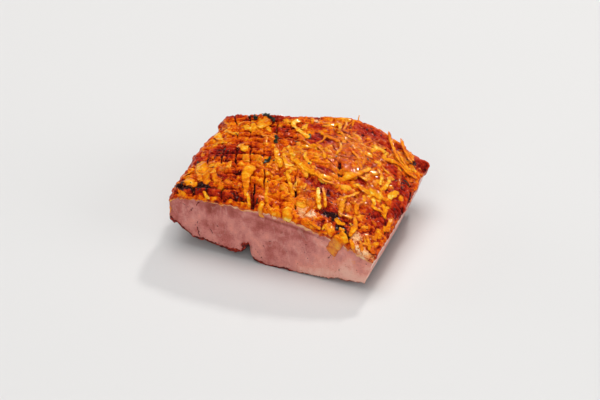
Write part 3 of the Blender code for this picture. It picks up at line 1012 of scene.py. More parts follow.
    def relief(self, x: Array, y: Array) -> tuple[Array, Array, Array]:
        """How the crust rises and falls about the smooth top.

        Args:
            x: Places along X.
            y: Places along Y.

        Returns:
            The rise in millimetres, the depth of the cuts from 0 to 1, and the rise of the lumps alone.
        """
        noise = Noise(self.relief_seed)
        points = flat(x, y)
        warped = self._warped(x, y)
        long_far, long_share = self.long_cuts.measure(*warped)
        cross_far, cross_share = self.cross_cuts.measure(*warped)
        opened, red = cover(self.opened, x, y), cover(self.red, x, y)
        covered = ease((x + 25 + 0.4 * y) / 60)
        long_cut = hump(long_far, 0, self.long_cuts.width) * np.clip(0.12 + 0.9 * opened, 0, 1)
        cross_cut = hump(cross_far, 0, self.cross_cuts.width) * (1 - 0.85 * covered)
        cross_cut = cross_cut * np.clip(0.55 + 0.8 * noise.value(points + 9, 13.0) + 0.3 * opened, 0.0, 1.2)
        pillow = (1 - np.abs(2 * long_share - 1) ** 7) * (1 - np.abs(2 * cross_share - 1) ** 2.4)
        lumps = self.top_lumps.at(noise, points)
        lumps = lumps + (0.5 + 0.9 * red) * noise.pebbles(points, 4.4) + 0.5 * noise.pebbles(points + 3, 2.0)
        lumps = lumps + 0.3 * noise.value(points, 1.15)
        rise = self.pillow * pillow * (1 - 0.7 * covered) + lumps
        rise = rise - self.long_cuts.depth * long_cut - self.cross_cuts.depth * cross_cut - self.sunk
        lip = hump(y - self.form.front, 4.5, 4.5) * (1 - ease((x + 25) / 25))
        bead = 1 - np.abs(2 * long_share - 1) ** 2.2
        rise = rise + lip * (2.4 * bead - 0.9)
        rise = rise + sum(patch.at(x, y) for patch in self.swells)
        gap = lip * np.clip(1.5 * (1 - bead), 0, 1)
        slashed = self._slashed(x, y)
        rise = rise - np.maximum.reduce([slash.depth * share for slash, share in zip(self.slashes, slashed)])
        return rise, np.clip(np.maximum.reduce([long_cut, 0.85 * cross_cut, gap, *slashed]), 0, 1), lumps

    def height(self, x: Array, y: Array) -> Array:
        """Height of the crust of the finished joint, with its relief softened."""
        upright = self.form.upright(x, y)
        return self.form.top(upright, y) + 0.5 * self.relief(upright, y)[0]

    def build(self) -> bpy.types.Object:
        """Makes the piece, with its attributes for the finish, and dresses it.

        Returns:
            The crust as one closed mesh.
        """
        form, noise = self.form, Noise(self.seed)
        sheet = Sheet(form, *self.full_steps)
        x, y = sheet.x, sheet.y
        rise, cuts, lumps = self.relief(x, y)
        roll, calm = np.zeros_like(x), np.ones_like(x)
        for far, radius in zip((sheet.from_left, sheet.from_back, sheet.from_front, sheet.from_right), self.rolls):
            share = np.clip(far / radius, 0, 1)
            roll = np.maximum(roll, radius * (1 - np.sqrt(1 - (1 - share) ** 2)))
            calm = np.minimum(calm, 0.5 + 0.5 * share)
        grid = np.stack([x, y, form.top(x, y) + rise * calm - 0.75 * roll], axis=-1)
        ring = sheet.border
        walls, down = self._walls(grid[ring], sheet.u[ring], sheet.v[ring], noise)
        points = np.concatenate([grid, walls.reshape(-1, 3)])
        points = self._ragged(points, noise)
        points[:, 0] = form.leaned(*points.T)
        piece = make_piece(self.name, points, sheet.faces(self.rings), self.place)
        spread = np.zeros((3, len(points)))
        spread[0, : len(grid)], spread[1, : len(grid)], spread[2, len(grid):] = cuts, lumps, down.ravel()
        self._mark(piece, points, len(grid), spread, noise)
        piece.data.materials.append(CrustFinish().make())
        return piece

    def _walls(self, border: Array, u: Array, v: Array, noise: Noise) -> tuple[Array, Array]:
        """The crust's side, from its border down, and its last rings, each tucked some way in and some share back up.

        Args:
            border: The border's points.
            u: Share of the length of each.
            v: Share of the depth of each.
            noise: Noise for the ragged lower edge.

        Returns:
            The rings of points, and for each point of the front and right its share of the way down.
        """
        x, y, height = border.T
        out = np.zeros_like(border)
        for axis, share in enumerate((u, v)):
            out[:, axis] = np.where(share < NEARLY_NONE, -1.0, np.where(share > 1 - NEARLY_NONE, 1.0, 0.0))
        on_front, on_right = v < NEARLY_NONE, (u > 1 - NEARLY_NONE) & (v > NEARLY_NONE)
        on_cut = on_front | on_right
        bead = 1 - np.abs(2 * self.long_cuts.measure(x, y)[1] - 1) ** 2.6
        torn, drip = self.torn.at(noise, border), self.drips.at(noise, border)
        loose = np.minimum(ease((self.form.right - x) / 14), 0.3 + 0.7 * ease((y - self.form.front) / 14))
        front_thick = knots(self.rim, x) + 1.1 * (bead - 0.6) + 2.3 * torn
        thick = np.where(on_front, front_thick, (4 + 9 * ease((y + 62) / 26)) * (1 + 0.6 * drip))
        thick = np.maximum(np.where(on_right, 2.0 + 1.1 * torn + 5.0 * hump(y, 65, 9), thick), 0.8)
        fade = 1 - ease((x + 30) / 45)
        swell = np.where(on_front, 0.3 + (0.5 + 1.6 * bead) * fade + 0.3 * torn, 0.4 + (2.0 + 0.8 * torn) * loose)
        swell = np.where(on_right, 0.3, swell)
        lower = np.where(on_cut, height, self.form.top(x, y)) - thick
        hanging = self.rings - len(self.tucks)
        shares = np.arange(1, hanging + 1) / hanging
        walls = []
        for share in shares.tolist():
            hang = np.where(on_cut, 0.12, 0.12 + 1.3 * share * loose)
            ring = border + out * (swell * math.sin(math.pi * share**0.7) ** 0.7 + hang)[:, None]
            ring[:, 2] = height + (lower - height) * share
            lump = self.side_lumps.at(noise, ring) * loose * math.sin(math.pi * share)
            ring += out * np.where(on_cut, 0.0, lump)[:, None]
            walls.append(ring)
        for inwards, up in self.tucks:
            ring = border - out * inwards
            ring[:, 2] = lower + up * thick
            walls.append(ring)
        return np.stack(walls), np.concatenate([shares, np.ones(len(self.tucks))])[:, None] * on_cut

    def _ragged(self, points: Array, noise: Noise) -> Array:
        """Pushes the left, back and right edges in and out, and lifts the flap at the back right corner."""
        form = self.form
        x, y, _ = points.T
        near_left = 1 - ease((x - form.left) / 14)
        near_back = 1 - ease((form.back_edge(form.along(x)) - y) / 12)
        near_right = 1 - ease((form.right - x) / 7)
        bite = sum(deep * hump(y, place, reach) for place, deep, reach in self.bites)
        moved = points.copy()
        moved[:, 0] += near_left * (self.left_waves.at(noise, points) - 1.0 + bite)
        moved[:, 1] += near_back * self.back_waves.at(noise, points)
        moved[:, 0] += near_right * (self.right_waves.at(noise, points) - 0.6)
        flap = self.flap.at(x, y)
        moved[:, 0] += self.flap_out * flap
        moved[:, 2] += self.flap_up * flap * (points[:, 2] > form.top(x, y) - 6)
        return moved

    def _mark(self, piece: bpy.types.Object, points: Array, topside: int, spread: Array, noise: Noise) -> None:
        """Stores the values that the finish and the strewn bits read."""
        form = self.form
        x, y, _ = points.T
        ground = flat(x, y)
        depth, lumps, down = spread
        kinds = (self.red, self.pale, self.burnt, self.fatty, self.ruby)
        red, pale, burnt, fatty, ruby = (cover(patches, x, y) for patches in kinds)
        left = 1 - ease((x + 30) / 50)
        upright = form.upright(x, y)
        slashed = np.maximum.reduce(self._slashed(upright, y))
        # Painted light and shade: the tone is raised on the higher lumps and lowered in the knife cuts, on top of the
        # patches' own colours.
        tone = 0.57 - 0.33 * red + 0.17 * pale - 0.36 * depth + 0.20 * (lumps - 0.55)
        tone = tone + 0.10 * noise.fractal(ground, 14.0) + 0.10 * down
        tone = tone + 0.34 * ease((down - 0.4) / 0.3) * left - 0.06 * left * (down > 0) * (down < 0.45)
        tone = tone + 0.16 * left * hump(y, form.front, 2.2) * (depth < 0.5)
        # Painted shade: char is also laid deeper in the knife cuts of the red patches and thinner on the higher lumps.
        char = burnt * (0.68 + 0.40 * noise.fractal(ground + 33, 7.0)) + 0.25 * depth * red
        char = char - 0.10 * (lumps - 0.4) - 0.8 * down
        fringe = ease((x + 52) / 12) * (1 - ease((x - 34) / 14))
        fat = 0.75 * fatty + ease((down - 0.45 - 0.15 * left + 0.32 * fringe) / 0.3) * (
            0.42 + 0.24 * fringe + 0.42 * ease((x - 55) / 20) + 0.9 * noise.fractal(ground + 8, 5.0))
        wide = ease((x + 22 + 0.35 * y) / 40)
        shreds = np.clip(0.30 + 0.70 * wide + 0.45 * noise.value(ground, 13.0) - 0.75 * fatty - 0.55 * burnt
                         - 0.9 * np.clip(np.maximum(red, 1.5 * ruby), 0, 1) - 1.5 * slashed, 0, 1)
        top = (np.arange(len(points)) < topside).astype(float)
        inner = top * (x - form.left > 5) * (y - form.front > 2.5) * (x < 96 + 0.05 * y)
        inner = inner * (form.back_edge(form.along(x)) - y > 5)
        set_attributes(
            piece, tone=tone, char=char, fat=fat, shreds=shreds * inner, bits=inner,
            mottle=1.0 - 0.45 * np.clip(pale + 0.3 * wide - 0.2 * red + 0.5 * ruby, 0, 1),
            ruby=np.clip(1.7 * ruby, 0, 1) * (1 - np.clip(down, 0, 1)),
            slit_far=self.long_cuts.measure(*self._warped(upright, y))[0], slit=cover(self.opened, x, y) * top,
            slash=top * slashed, amber=cover(self.amber, x, y) * inner,
            burnt_bits=np.clip(burnt + 0.04 * red, 0, 1) * inner)


@dataclass(frozen=True)
class Strip:
    """One strip of peel: its route over the top, its width and thickness, how high it arches, and how it rolls."""

    route: tuple[tuple[float, float], ...]
    width: float
    thick: float = 1.1
    arch: float = 1.0
    roll: float = 0.15
    tint: float = 0.5
    lift: float = 0.0
    ragged: float = 0.7
    point: float = 0.45
    crumple: float = 0.8
    tail: float = 1.0


def strip(route: Sequence[float], *sizes: float) -> Strip:
    """A strip whose route is given as X and Y in turn."""
    return Strip(tuple(zip(route[::2], route[1::2])), *sizes)


@dataclass(frozen=True)
class Draper:
    """Lays strips of peel over the crust and down the front."""

    crust: Crust
    place: Place
    sides: int = 14
    turn: float = 1.6
    step: float = 0.9
    span_points: int = 24

    def skin(self, x: Array, y: Array, lift: Array) -> Array:
        """Points this high over the crust, where Y beyond the front face runs down it."""
        start = self.crust.form.front + self.turn
        inside = np.maximum(y, start)
        height = self.crust.height(x, inside)
        past = np.clip(start - y, 0, None)
        bend = np.minimum(past / self.turn, math.pi / 2)
        radius = self.turn + lift
        over_y = inside - np.sin(bend) * radius
        over_z = height - self.turn + np.cos(bend) * radius - np.clip(past - self.turn * math.pi / 2, 0, None)
        return np.stack([x, over_y, np.where(past > 0, over_z, height + lift)], axis=-1)

    def line(self, route: Sequence[tuple[float, float]], steps: int) -> Array:
        """Evenly spaced points on a smooth line through the route."""
        fixed = np.array(route, dtype=float)
        padded = np.vstack([2 * fixed[0] - fixed[1], fixed, 2 * fixed[-1] - fixed[-2]])
        dense = []
        for i in range(len(fixed) - 1):
            t = np.linspace(0, 1, self.span_points, endpoint=i == len(fixed) - 2)[:, None]
            a, b, c, d = padded[i : i + 4]
            curve = 2 * b + (c - a) * t + (2 * a - 5 * b + 4 * c - d) * t**2 + (3 * b - a - 3 * c + d) * t**3
            dense.append(0.5 * curve)
        path = np.vstack(dense)
        far = np.concatenate([[0], np.cumsum(np.linalg.norm(np.diff(path, axis=0), axis=1))])
        even = np.linspace(0, far[-1], steps + 1)
        return np.stack([np.interp(even, far, axis) for axis in path.T], axis=-1)

    def shell(self, plan: Strip, seed: int) -> tuple[Array, list[Sequence[int]], Array]:
        """A closed, flattened tube along the strip's route, with torn edges.

        Args:
            plan: The strip.
            seed: Sets its raggedness apart.

        Returns:
            Its points, its faces and a tint for each point.
        """
        noise = Noise(seed)
        length = sum(math.dist(a, b) for a, b in zip(plan.route, plan.route[1:]))
        steps = max(8, round(length / self.step))
        path = self.line(plan.route, steps)
        share = np.linspace(0, 1, steps + 1)
        heading = np.gradient(path, axis=0)
        heading /= np.linalg.norm(heading, axis=1, keepdims=True)
        side = np.stack([-heading[:, 1], heading[:, 0]], axis=-1)
        taper = np.clip(np.minimum(share, 1 - share) * length / (plan.point * plan.width) + 0.15, 0, 1) ** 0.6
        along = np.stack([share * length, np.zeros_like(share), np.zeros_like(share)], axis=-1)
        broad = min(max((plan.width - 3.5) / 3, 0.0), 1.0)
        rough = 0.26 * min(plan.width, 5.5) * plan.ragged
        torn = (0.16 + 0.04 * broad) * min(plan.width, 7) * plan.ragged
        half = plan.width / 2 * (1 + (plan.tail - 1) * share)
        left, right = (
            (half + rough * noise.fractal(along + wave, 5.0) + torn * noise.value(along + tear, 1.9)) * taper
            for wave, tear in ((0, 0), (50, 20)))
        roll = plan.roll * np.sin(2.6 * share + seed) + 0.15 * noise.value(along, 9.0)
        lift = plan.lift + 0.6 * plan.arch * np.sin(math.pi * share) + 0.5 * noise.value(along + 80, 5.0)
        angles = np.linspace(0, 2 * math.pi, self.sides, endpoint=False)
        cosines, sines = np.cos(angles), np.sin(angles)
        cup = 0.16 * math.copysign(1.0, math.sin(1.7 * seed)) / max(plan.width, 1.0)
        rings, tints = [], []
        for k in range(steps + 1):
            reach = np.where(cosines > 0, left[k], right[k]) * np.sign(cosines) * np.abs(cosines) ** 0.6
            body = 0.30 * plan.thick * (0.5 + 0.5 * taper[k]) * np.sign(sines) * np.abs(sines) ** (0.8 + 0.4 * broad)
            out = reach * math.cos(roll[k]) - body * math.sin(roll[k])
            up = reach * math.sin(roll[k]) + body * math.cos(roll[k]) + cup * reach**2
            across = path[k] + side[k] * out[:, None]
            rings.append(self.skin(across[:, 0], across[:, 1], lift[k] + up + 0.3 * plan.thick))
            streak = 0.22 * noise.value(along[k : k + 1] + 15, 6.0)[0]
            # Painted light and shade: the tint is raised on the upper side and lowered on the underside. It is also
            # darker along the torn edges.
            tints.append(plan.tint + streak + 0.16 * sines - 0.30 * np.abs(cosines) ** 3)
        points = np.concatenate(rings)
        crumple = (0.25 + 0.75 * broad) * noise.value(flat(points[:, 0], points[:, 1]) + 7, 2.6)
        points[:, 2] += plan.crumple * crumple
        points += 0.16 * np.stack([noise.value(points + 30 * axis, 1.4) for axis in range(3)], axis=-1)
        return points, tube_faces(len(points), steps + 1), np.concatenate(tints)

    def lay(self, name: str, strips: Sequence[Strip], seed: int, finish: bpy.types.Material) -> bpy.types.Object:
        """Makes one piece of several strips, each a closed shell at its own place, and dresses it.

        Args:
            name: Name of the piece.
            strips: The strips.
            seed: The first strip's seed. Each next strip has the next number.
            finish: What they are made of.

        Returns:
            The piece.
        """
        points, faces, tints = [], [], []
        count = 0
        for number, plan in enumerate(strips):
            shell, around, tint = self.shell(plan, seed + number)
            faces += [[corner + count for corner in face] for face in around]
            points.append(shell)
            tints.append(tint)
            count += len(shell)
        piece = make_piece(name, np.concatenate(points), faces, self.place)
        set_attributes(piece, tint=np.concatenate(tints))
        piece.data.materials.append(finish)
        return piece


def named(name: str, route: Sequence[float], *sizes: float) -> tuple[str, Strip]:
    """A strip with the name of the solid that it stands for."""
    return name, strip(route, *sizes)


@dataclass(frozen=True)
class LargePeel:
    """The large strips and flakes of peel, one piece for each."""

    draper: Draper
    finish: bpy.types.Material
    seed: int = 200
    strips: tuple[tuple[str, Strip], ...] = each(
        named,
        ("peel_flake_broad", (-31, -21, -30, -36, -25, -48, -22, -58),
         13, 1.4, 1.4, 0.1, 0.54, 0.3, 0.3, 0.45, 0.4, 0.2),
        ("peel_chunk_back", (-53, 58, -49, 49, -44, 38), 7, 1.4, 1.6, 0.2, 0.56, 0.0, 1.1, 0.45, 0.8, 2.4),
        ("peel_flake_left", (-83, -17, -77, -27, -68, -35), 10, 1.2, 1.2, 0.2),
        ("peel_chunk_left", (-84, -43, -78, -49, -71, -54), 10, 1.5, 1.2, 0.1),
        ("peel_flake_edge", (-87, 31, -83, 25, -77, 17), 8, 1.2, 0.8, 0.2, 0.62),
        ("peel_hook", (-17, 60, -20, 50, -12, 40, 3, 30), 5, 1.5, 1.6, 0.3, 0.7),
        ("peel_strand_lit", (-19, 7, -14, -4, -5, -16), 4.6, 1.3, 1.3, 0.3, 0.6, 0.2, 0.5),
        ("peel_strand_middle", (1, -19, 8, -30, 17, -43), 3.0, 1.2, 1.0, 0.3, 0.6),
        ("peel_strand_long", (2, -4, 14, -11, 28, -14, 40, -13), 5.0, 1.4, 1.6, 0.3, 0.56, 0.3, 0.5),
        ("peel_strand_rising", (46, -10, 53, -3, 60, 8, 65, 20), 4.6, 1.3, 2.0, 0.3, 0.6, 0.3, 0.5),
        ("peel_strand_right", (76, 60, 84, 52, 94, 42), 4.0, 1.3, 1.2, 0.2, 0.4),
        ("peel_flake_right", (93, 15, 91, 8, 88, 1), 4.6, 1.1, 0.8, 0.1, 0.66),
        ("peel_strand_corner", (72, -38, 75, -47, 74, -57), 4.4, 1.3, 1.0, 0.3),
        ("peel_drape_front", (72, -59, 67, -66, 63, -75, 59, -84), 10.0, 1.1, 0.3, 0.04, 0.5, 0.5, 0.3, 0.08, 0.3),
        ("peel_tab_front", (-6, -58, -5, -65, -4, -73), 4.6, 1.3, 0.4, 0.1, 0.6, 0.4, 0.7, 0.2),
        ("peel_flake_front", (16, -56, 19, -62, 22, -68), 8, 1.2, 0.5, 0.1, 0.72, 0.6))

    def build(self) -> dict[str, bpy.types.Object]:
        """Makes one piece for each large strip.

        Returns:
            The pieces by the name of the solid that each stands for.
        """
        return {name: self.draper.lay("candied_" + name, [plan], self.seed + number, self.finish)
                for number, (name, plan) in enumerate(self.strips)}


@dataclass(frozen=True)
class LooseStrips:
    """Narrower strands and flakes of peel, and curled leaves of dark herb, each laid at its own place."""

    draper: Draper
    peel_seed: int = 300
    leaf_seed: int = 400
    strands: tuple[Strip, ...] = each(
        strip, ((-55, 8, -50, 3, -43, -1), 7, 1.2, 1.4, 0.2, 0.6, 0.2, 1.2),
        ((-22, -54, -18, -60, -15, -65), 2.8, 1.1, 0.5, 0.1, 0.6, 0.1),
        ((-72, -34, -66, -42, -61, -50), 8, 1.2, 1.0, 0.3, 0.42),
        ((-62, -36, -57, -43, -52, -49), 5, 1.1, 1.0, 0.3, 0.4),
        ((-80, -28, -74, -38, -70, -46), 5, 1.1, 1.4, 0.3, 0.45),
        ((-90, -42, -87, -36, -84, -30), 4, 1.1, 0.8, 0.2, 0.4), ((-80, 36, -72, 30, -64, 27), 5, 1.1, 0.8, 0.2),
        ((-84, 12, -76, 14, -68, 11), 5, 1.1, 0.6, 0.2, 0.45),
        ((-66, 44, -58, 39, -50, 36), 7, 1.2, 1.0, 0.2, 0.62, 0.0, 1.2),
        ((-45, 46, -40, 39, -35, 31), 5, 1.2, 1.2, 0.3, 0.58),
        ((-47, -42, -43, -46, -37, -44), 7, 1.1, 0.8, 0.3, 0.2), ((-88, 52, -82, 46, -78, 38), 4, 1.1, 0.6, 0.2, 0.4),
        ((-90, 6, -86, 0, -84, -8), 4, 1.1, 0.6, 0.2, 0.4), ((-44, 30, -36, 24, -28, 26), 4, 1.1, 0.6, 0.2, 0.4),
        ((-4, 6, 4, -5, 12, -14), 3.6, 1.2, 1.4, 0.4, 0.54, 0.0, 0.5),
        ((-11, 13, -3, 3, 2, -6), 4.2, 1.2, 1.2, 0.4, 0.58, 0.0, 0.5),
        ((-10, 0, -4, -9, 1, -17), 3.8, 1.1, 1.0, 0.4, 0.58, 0.0, 0.5),
        ((8, -2, 20, -10, 34, -17, 46, -17), 2.6, 1.2, 1.0, 0.3, 0.45),
        ((33, -26, 37, -36, 42, -46), 3.6, 1.1, 1.0, 0.2, 0.76),
        ((37, -24, 42, -33, 46, -42), 3.0, 1.1, 1.0, 0.3, 0.58, 0.0, 0.5),
        ((57, -24, 58, -34, 61, -44), 4.4, 1.3, 1.4, 0.4, 0.5, 0.0, 1.2),
        ((66, -12, 60, -22, 52, -30), 3.0, 1.2, 1.2, 0.3, 0.52),
        ((73, -18, 70, -26, 71, -34), 4.0, 1.2, 1.2, 0.3, 0.38, 0.0, 1.3),
        ((48, -2, 56, 4, 68, 4), 3.4, 1.2, 1.0, 0.3, 0.56), ((70, 24, 76, 18, 78, 8), 3.8, 1.2, 1.2, 0.2, 0.56),
        ((82, 24, 83, 14, 81, 4), 3.0, 1.2, 1.2, 0.2, 0.6), ((60, -5, 70, -8, 80, -4), 4.0, 1.2, 1.0, 0.2, 0.56),
        ((72, -10, 78, -5, 85, -3), 6.0, 1.2, 1.0, 0.2, 0.6, 0.0, 1.4),
        ((86, -10, 91, -14, 93, -20), 6.0, 1.2, 1.0, 0.3, 0.55, 0.0, 1.4),
        ((97, -16, 98, -24, 96, -33), 4.0, 1.2, 0.8, 0.2, 0.45, 0.0, 1.2),
        ((94, -34, 94, -41, 91, -48), 5.0, 1.2, 0.8, 0.3, 0.45, 0.0, 1.3),
        ((84, -46, 90, -52, 93, -59), 3.6, 1.3, 0.6, 0.2, 0.4),
        ((86, -58, 92, -54, 97, -47), 3.0, 1.1, 0.6, 0.2, 0.45),
        ((70, -40, 63, -42, 57, -40), 3.2, 1.2, 1.0, 0.3, 0.45),
        ((57, -48, 62, -51, 67, -49), 3.4, 1.1, 1.0, 0.2, 0.6), ((78, -16, 84, -18, 92, -16), 3.0, 1.1, 1.2, 0.2),
        ((20, 54, 30, 48, 42, 46), 3.0, 1.1, 0.8, 0.2, 0.35), ((56, 54, 60, 47, 58, 40), 4.0, 1.1, 0.8, 0.2, 0.6),
        ((18, 66, 22, 57, 24, 48), 3.2, 1.1, 1.0, 0.2, 0.52), ((8, 44, 18, 38, 30, 36), 3.2, 1.1, 0.8, 0.2, 0.35),
        ((-4, 20, 4, 16, 14, 20), 3.4, 1.1, 1.0, 0.2), ((12, 24, 16, 34, 14, 44), 3.0, 1.1, 0.8, 0.2, 0.4),
        ((30, 36, 34, 28, 33, 18), 2.8, 1.1, 0.8, 0.2), ((12, 22, 22, 16, 26, 8), 3.0, 1.1, 0.8, 0.3),
        ((-2, 26, 8, 20, 18, 22), 3.0, 1.1, 0.8, 0.3, 0.45), ((44, 30, 52, 24, 58, 14), 3.0, 1.1, 0.8, 0.3, 0.45),
        ((68, 40, 80, 44, 92, 42, 100, 44), 3.2, 1.2, 1.0, 0.2, 0.4),
        ((62, 75, 66, 68, 72, 59, 80, 50, 90, 44), 3.2, 1.2, 1.4, 0.3, 0.4, 0.8, 0.7, 1.4),
        ((74, 74, 79, 67, 85, 60, 92, 54), 3.2, 1.2, 1.4, 0.3, 0.38, 1.2, 0.7, 1.4),
        ((20, 62, 12, 60, 4, 61), 4.0, 1.2, 0.8, 0.2, 0.45), ((-12, 66, -6, 62, -4, 56), 3.6, 1.2, 1.0, 0.2, 0.45),
        ((8, 10, 10, 2, 18, -4), 3.4, 1.1, 0.8, 0.2, 0.6), ((94, -54, 96, -57, 95, -61), 4.6, 2.2, 0.3, 0.0, 0.25),
        ((-8, -40, -6, -50, -2, -57), 3.0, 1.1, 0.6, 0.2, 0.56), ((52, -57, 57, -62, 60, -66), 3.6, 1.2, 0.4, 0.2),
        ((76, -60, 80, -65, 82, -70), 3.6, 1.1, 0.3, 0.1, 0.45, 0.3),
        ((-84, -60, -78, -65, -74, -66), 3.4, 1.2, 0.3, 0.1, 0.4, 0.3),
        ((-60, -61, -56, -64, -52, -66), 2.6, 1.0, 0.3, 0.1, 0.5, 0.2),
        ((36, -60, 43, -63, 50, -64), 3.0, 1.2, 0.3, 0.2))
    leaves: tuple[Strip, ...] = each(
        strip, ((-62, 61, -60, 57, -57, 51), 6.0, 0.7, 0.6, 0.5, 0.2, 1.6, 1.3, 2.6),
        ((-55, 62, -50, 60, -46, 55), 7.5, 0.7, 0.8, 0.6, 0.2, 1.6, 1.3, 2.6),
        ((-46, 57, -41, 53, -38, 48), 6.0, 0.7, 0.8, 0.4, 0.2, 2.0, 1.3, 2.6),
        ((-27, 25, -24, 20, -22, 13), 6.4, 0.7, 1.2, 0.5, 0.3, 0.9, 1.4, 2.6),
        ((-22, -17, -19.5, -12, -18, -7), 5.6, 0.7, 1.0, 0.5, 0.3, 0.9, 1.4, 2.6),
        ((1, 36, 3, 32, 3.5, 28), 3.4, 0.7, 0.8, 0.4, 0.6, 0.8, 0.7, 2.6),
        ((-71, 1, -68, 0, -65, 1), 3.2, 0.7, 0.6, 0.4, 0.7, 0.5, 0.7, 2.6),
        ((-68, 28, -66, 27, -65, 26), 2.6, 0.7, 0.6, 0.2, 0.8, 0.5, 0.7, 2.6),
        ((-86, -15, -85, -17, -83, -18), 2.4, 0.7, 0.6, 0.2, 0.3, 0.5, 0.7, 2.6),
        ((58, 30, 59, 29, 60, 28), 1.8, 0.7, 0.4, 0.2, 0.3, 0.5, 0.7, 2.6),
        ((-12, -56, -11, -57, -11, -59), 2.4, 0.7, 0.4, 0.2, 0.2, 0.5, 0.7, 2.6),
        ((92, 30, 95, 31, 98, 30), 2.2, 0.7, 0.4, 0.2, 0.3, 0.6, 0.7, 2.6))

    def build_peel(self, finish: bpy.types.Material) -> bpy.types.Object:
        """Makes all the strands of peel as one piece."""
        return self.draper.lay("peel_strands", self.strands, self.peel_seed, finish)

    def build_leaves(self, finish: bpy.types.Material) -> bpy.types.Object:
        """Makes all the leaves as one piece."""
        return self.draper.lay("herb_leaves", self.leaves, self.leaf_seed, finish)


class BitShape(Enum):
    """The shapes of the small bits."""

    SHRED = "shred"
    THREAD = "thread"
    FLAKE = "flake"
    CRUMB = "crumb"


@dataclass(frozen=True)
class Ribbon:
    """A bent ribbon's number of steps, and the ends of the ranges that its sizes are drawn from."""

    steps: int
    length: tuple[float, float]
    width: tuple[float, float]
    thick: tuple[float, float]


@dataclass(frozen=True)
class BitMaker:
    """Makes the few source shapes of one kind of small bit."""

    shape: BitShape
    variants: int
    seed: int
    shred: Ribbon = Ribbon(8, (9, 14), (0.9, 1.6), (0.4, 0.6))
    thread: Ribbon = Ribbon(6, (6, 11), (0.4, 0.7), (0.3, 0.45))
    ribbon_sides: int = 6
    ribbon_bends: tuple[tuple[float, float], ...] = ((-0.9, 0.9), (-0.6, 0.6), (0.1, 0.5))
    flake_sides: int = 10
    flake_radius: float = 2.4
    flake_uneven: tuple[float, float] = (0.6, 1.2)
    flake_long: float = 0.35
    flake_cup: tuple[float, float] = (-0.06, 0.10)
    flake_bump: float = 0.15
    flake_rings: tuple[tuple[float, float], ...] = (
        (0.02, 0.4), (0.6, 0.38), (0.97, 0.16), (0.97, -0.16), (0.6, -0.38), (0.02, -0.4))
    crumb_radius: float = 0.5
    crumb_rough: float = 0.3
    crumb_flatness: float = 0.75

    def build(self) -> bpy.types.Collection:
        """Makes the shapes, each with its own height stored, in a collection that isn't linked to the scene."""
        kept = bpy.data.collections.new(self.shape.value + "_shapes")
        makers = {BitShape.SHRED: self._ribbon, BitShape.THREAD: self._ribbon, BitShape.FLAKE: self._flake,
                  BitShape.CRUMB: self._crumb}
        for number in range(self.variants):
            mesh = bpy.data.meshes.new(f"{self.shape.value}_{number}")
            makers[self.shape](np.random.default_rng(self.seed + number), mesh)
            face_outwards(mesh)
            source = bpy.data.objects.new(mesh.name, mesh)
            set_attributes(source, stand=np.array([vertex.co.z for vertex in mesh.vertices]))
            kept.objects.link(source)
        return kept

    def _tube(self, mesh: bpy.types.Mesh, rings: Sequence[Array]) -> None:
        """Fills a mesh with a closed tube through rings of points."""
        points = np.concatenate(rings)
        mesh.from_pydata((points * MM).tolist(), [], tube_faces(len(points), len(rings)))

    def _ribbon(self, random: np.random.Generator, mesh: bpy.types.Mesh) -> None:
        """A bent ribbon, or a thread."""
        plan = self.shred if self.shape is BitShape.SHRED else self.thread
        ends = (plan.length, plan.width, plan.thick, *self.ribbon_bends)
        length, width, thick, bend, kink, wave = (random.uniform(*pair) for pair in ends)
        angles = np.linspace(0, 2 * math.pi, self.ribbon_sides, endpoint=False)
        rings = []
        heading = -0.5 * bend
        middle = np.array([-0.5 * length, 0.0])
        for k in range(plan.steps + 1):
            share = k / plan.steps
            taper = min(1.0, 0.25 + 2.4 * min(share, 1 - share)) ** 0.7
            heading += (bend + kink * math.sin(6 * share)) / plan.steps
            middle = middle + length / plan.steps * np.array([math.cos(heading), math.sin(heading)])
            twist = wave * math.sin(4 * share + bend)
            side = np.cos(angles) * width * taper * random.uniform(0.75, 1.2)
            body = np.sin(angles) * thick * taper
            out = side * math.cos(twist) - body * math.sin(twist)
            up = side * math.sin(twist) + body * math.cos(twist) + 0.4 * wave * math.sin(5 * share)
            x, y = middle[0] - math.sin(heading) * out, middle[1] + math.cos(heading) * out
            rings.append(np.stack([x, y, up], axis=-1))
        self._tube(mesh, rings)

    def _flake(self, random: np.random.Generator, mesh: bpy.types.Mesh) -> None:
        """A torn flake about 5 mm across, cupped, with a thin edge."""
        count = self.flake_sides
        angles = np.linspace(0, 2 * math.pi, count, endpoint=False)
        reach = self.flake_radius * random.uniform(*self.flake_uneven, count)
        reach = reach * (1 + self.flake_long * np.cos(2 * angles + random.uniform(0, 6)))
        cup = random.uniform(*self.flake_cup)
        bumps = random.uniform(-self.flake_bump, self.flake_bump, count)
        rings = []
        for share, height in self.flake_rings:
            spread = share * reach
            up = height + cup * spread**2 + bumps * share
            rings.append(np.stack([np.cos(angles) * spread, np.sin(angles) * spread, up], axis=-1))
        self._tube(mesh, rings)

    def _crumb(self, random: np.random.Generator, mesh: bpy.types.Mesh) -> None:
        """A crumb about 1 mm across."""
        work = bmesh.new()
        bmesh.ops.create_icosphere(work, subdivisions=1, radius=self.crumb_radius * MM)
        for vertex in work.verts:
            vertex.co *= 1 + random.uniform(-self.crumb_rough, self.crumb_rough)
            vertex.co.z *= self.crumb_flatness
        work.to_mesh(mesh)
        work.free()


@dataclass(frozen=True)
class Strewing:
    """How one kind of small bit is strewn over the crust."""

    name: str
    shape: BitShape
    mask: str
    density: float
    smallest: float
    largest: float
    lift: float
    seed: int
    variants: int = 6
    tilt: float = 0.0
    middle_tint: float = 0.5
    tint_range: float = 0.4


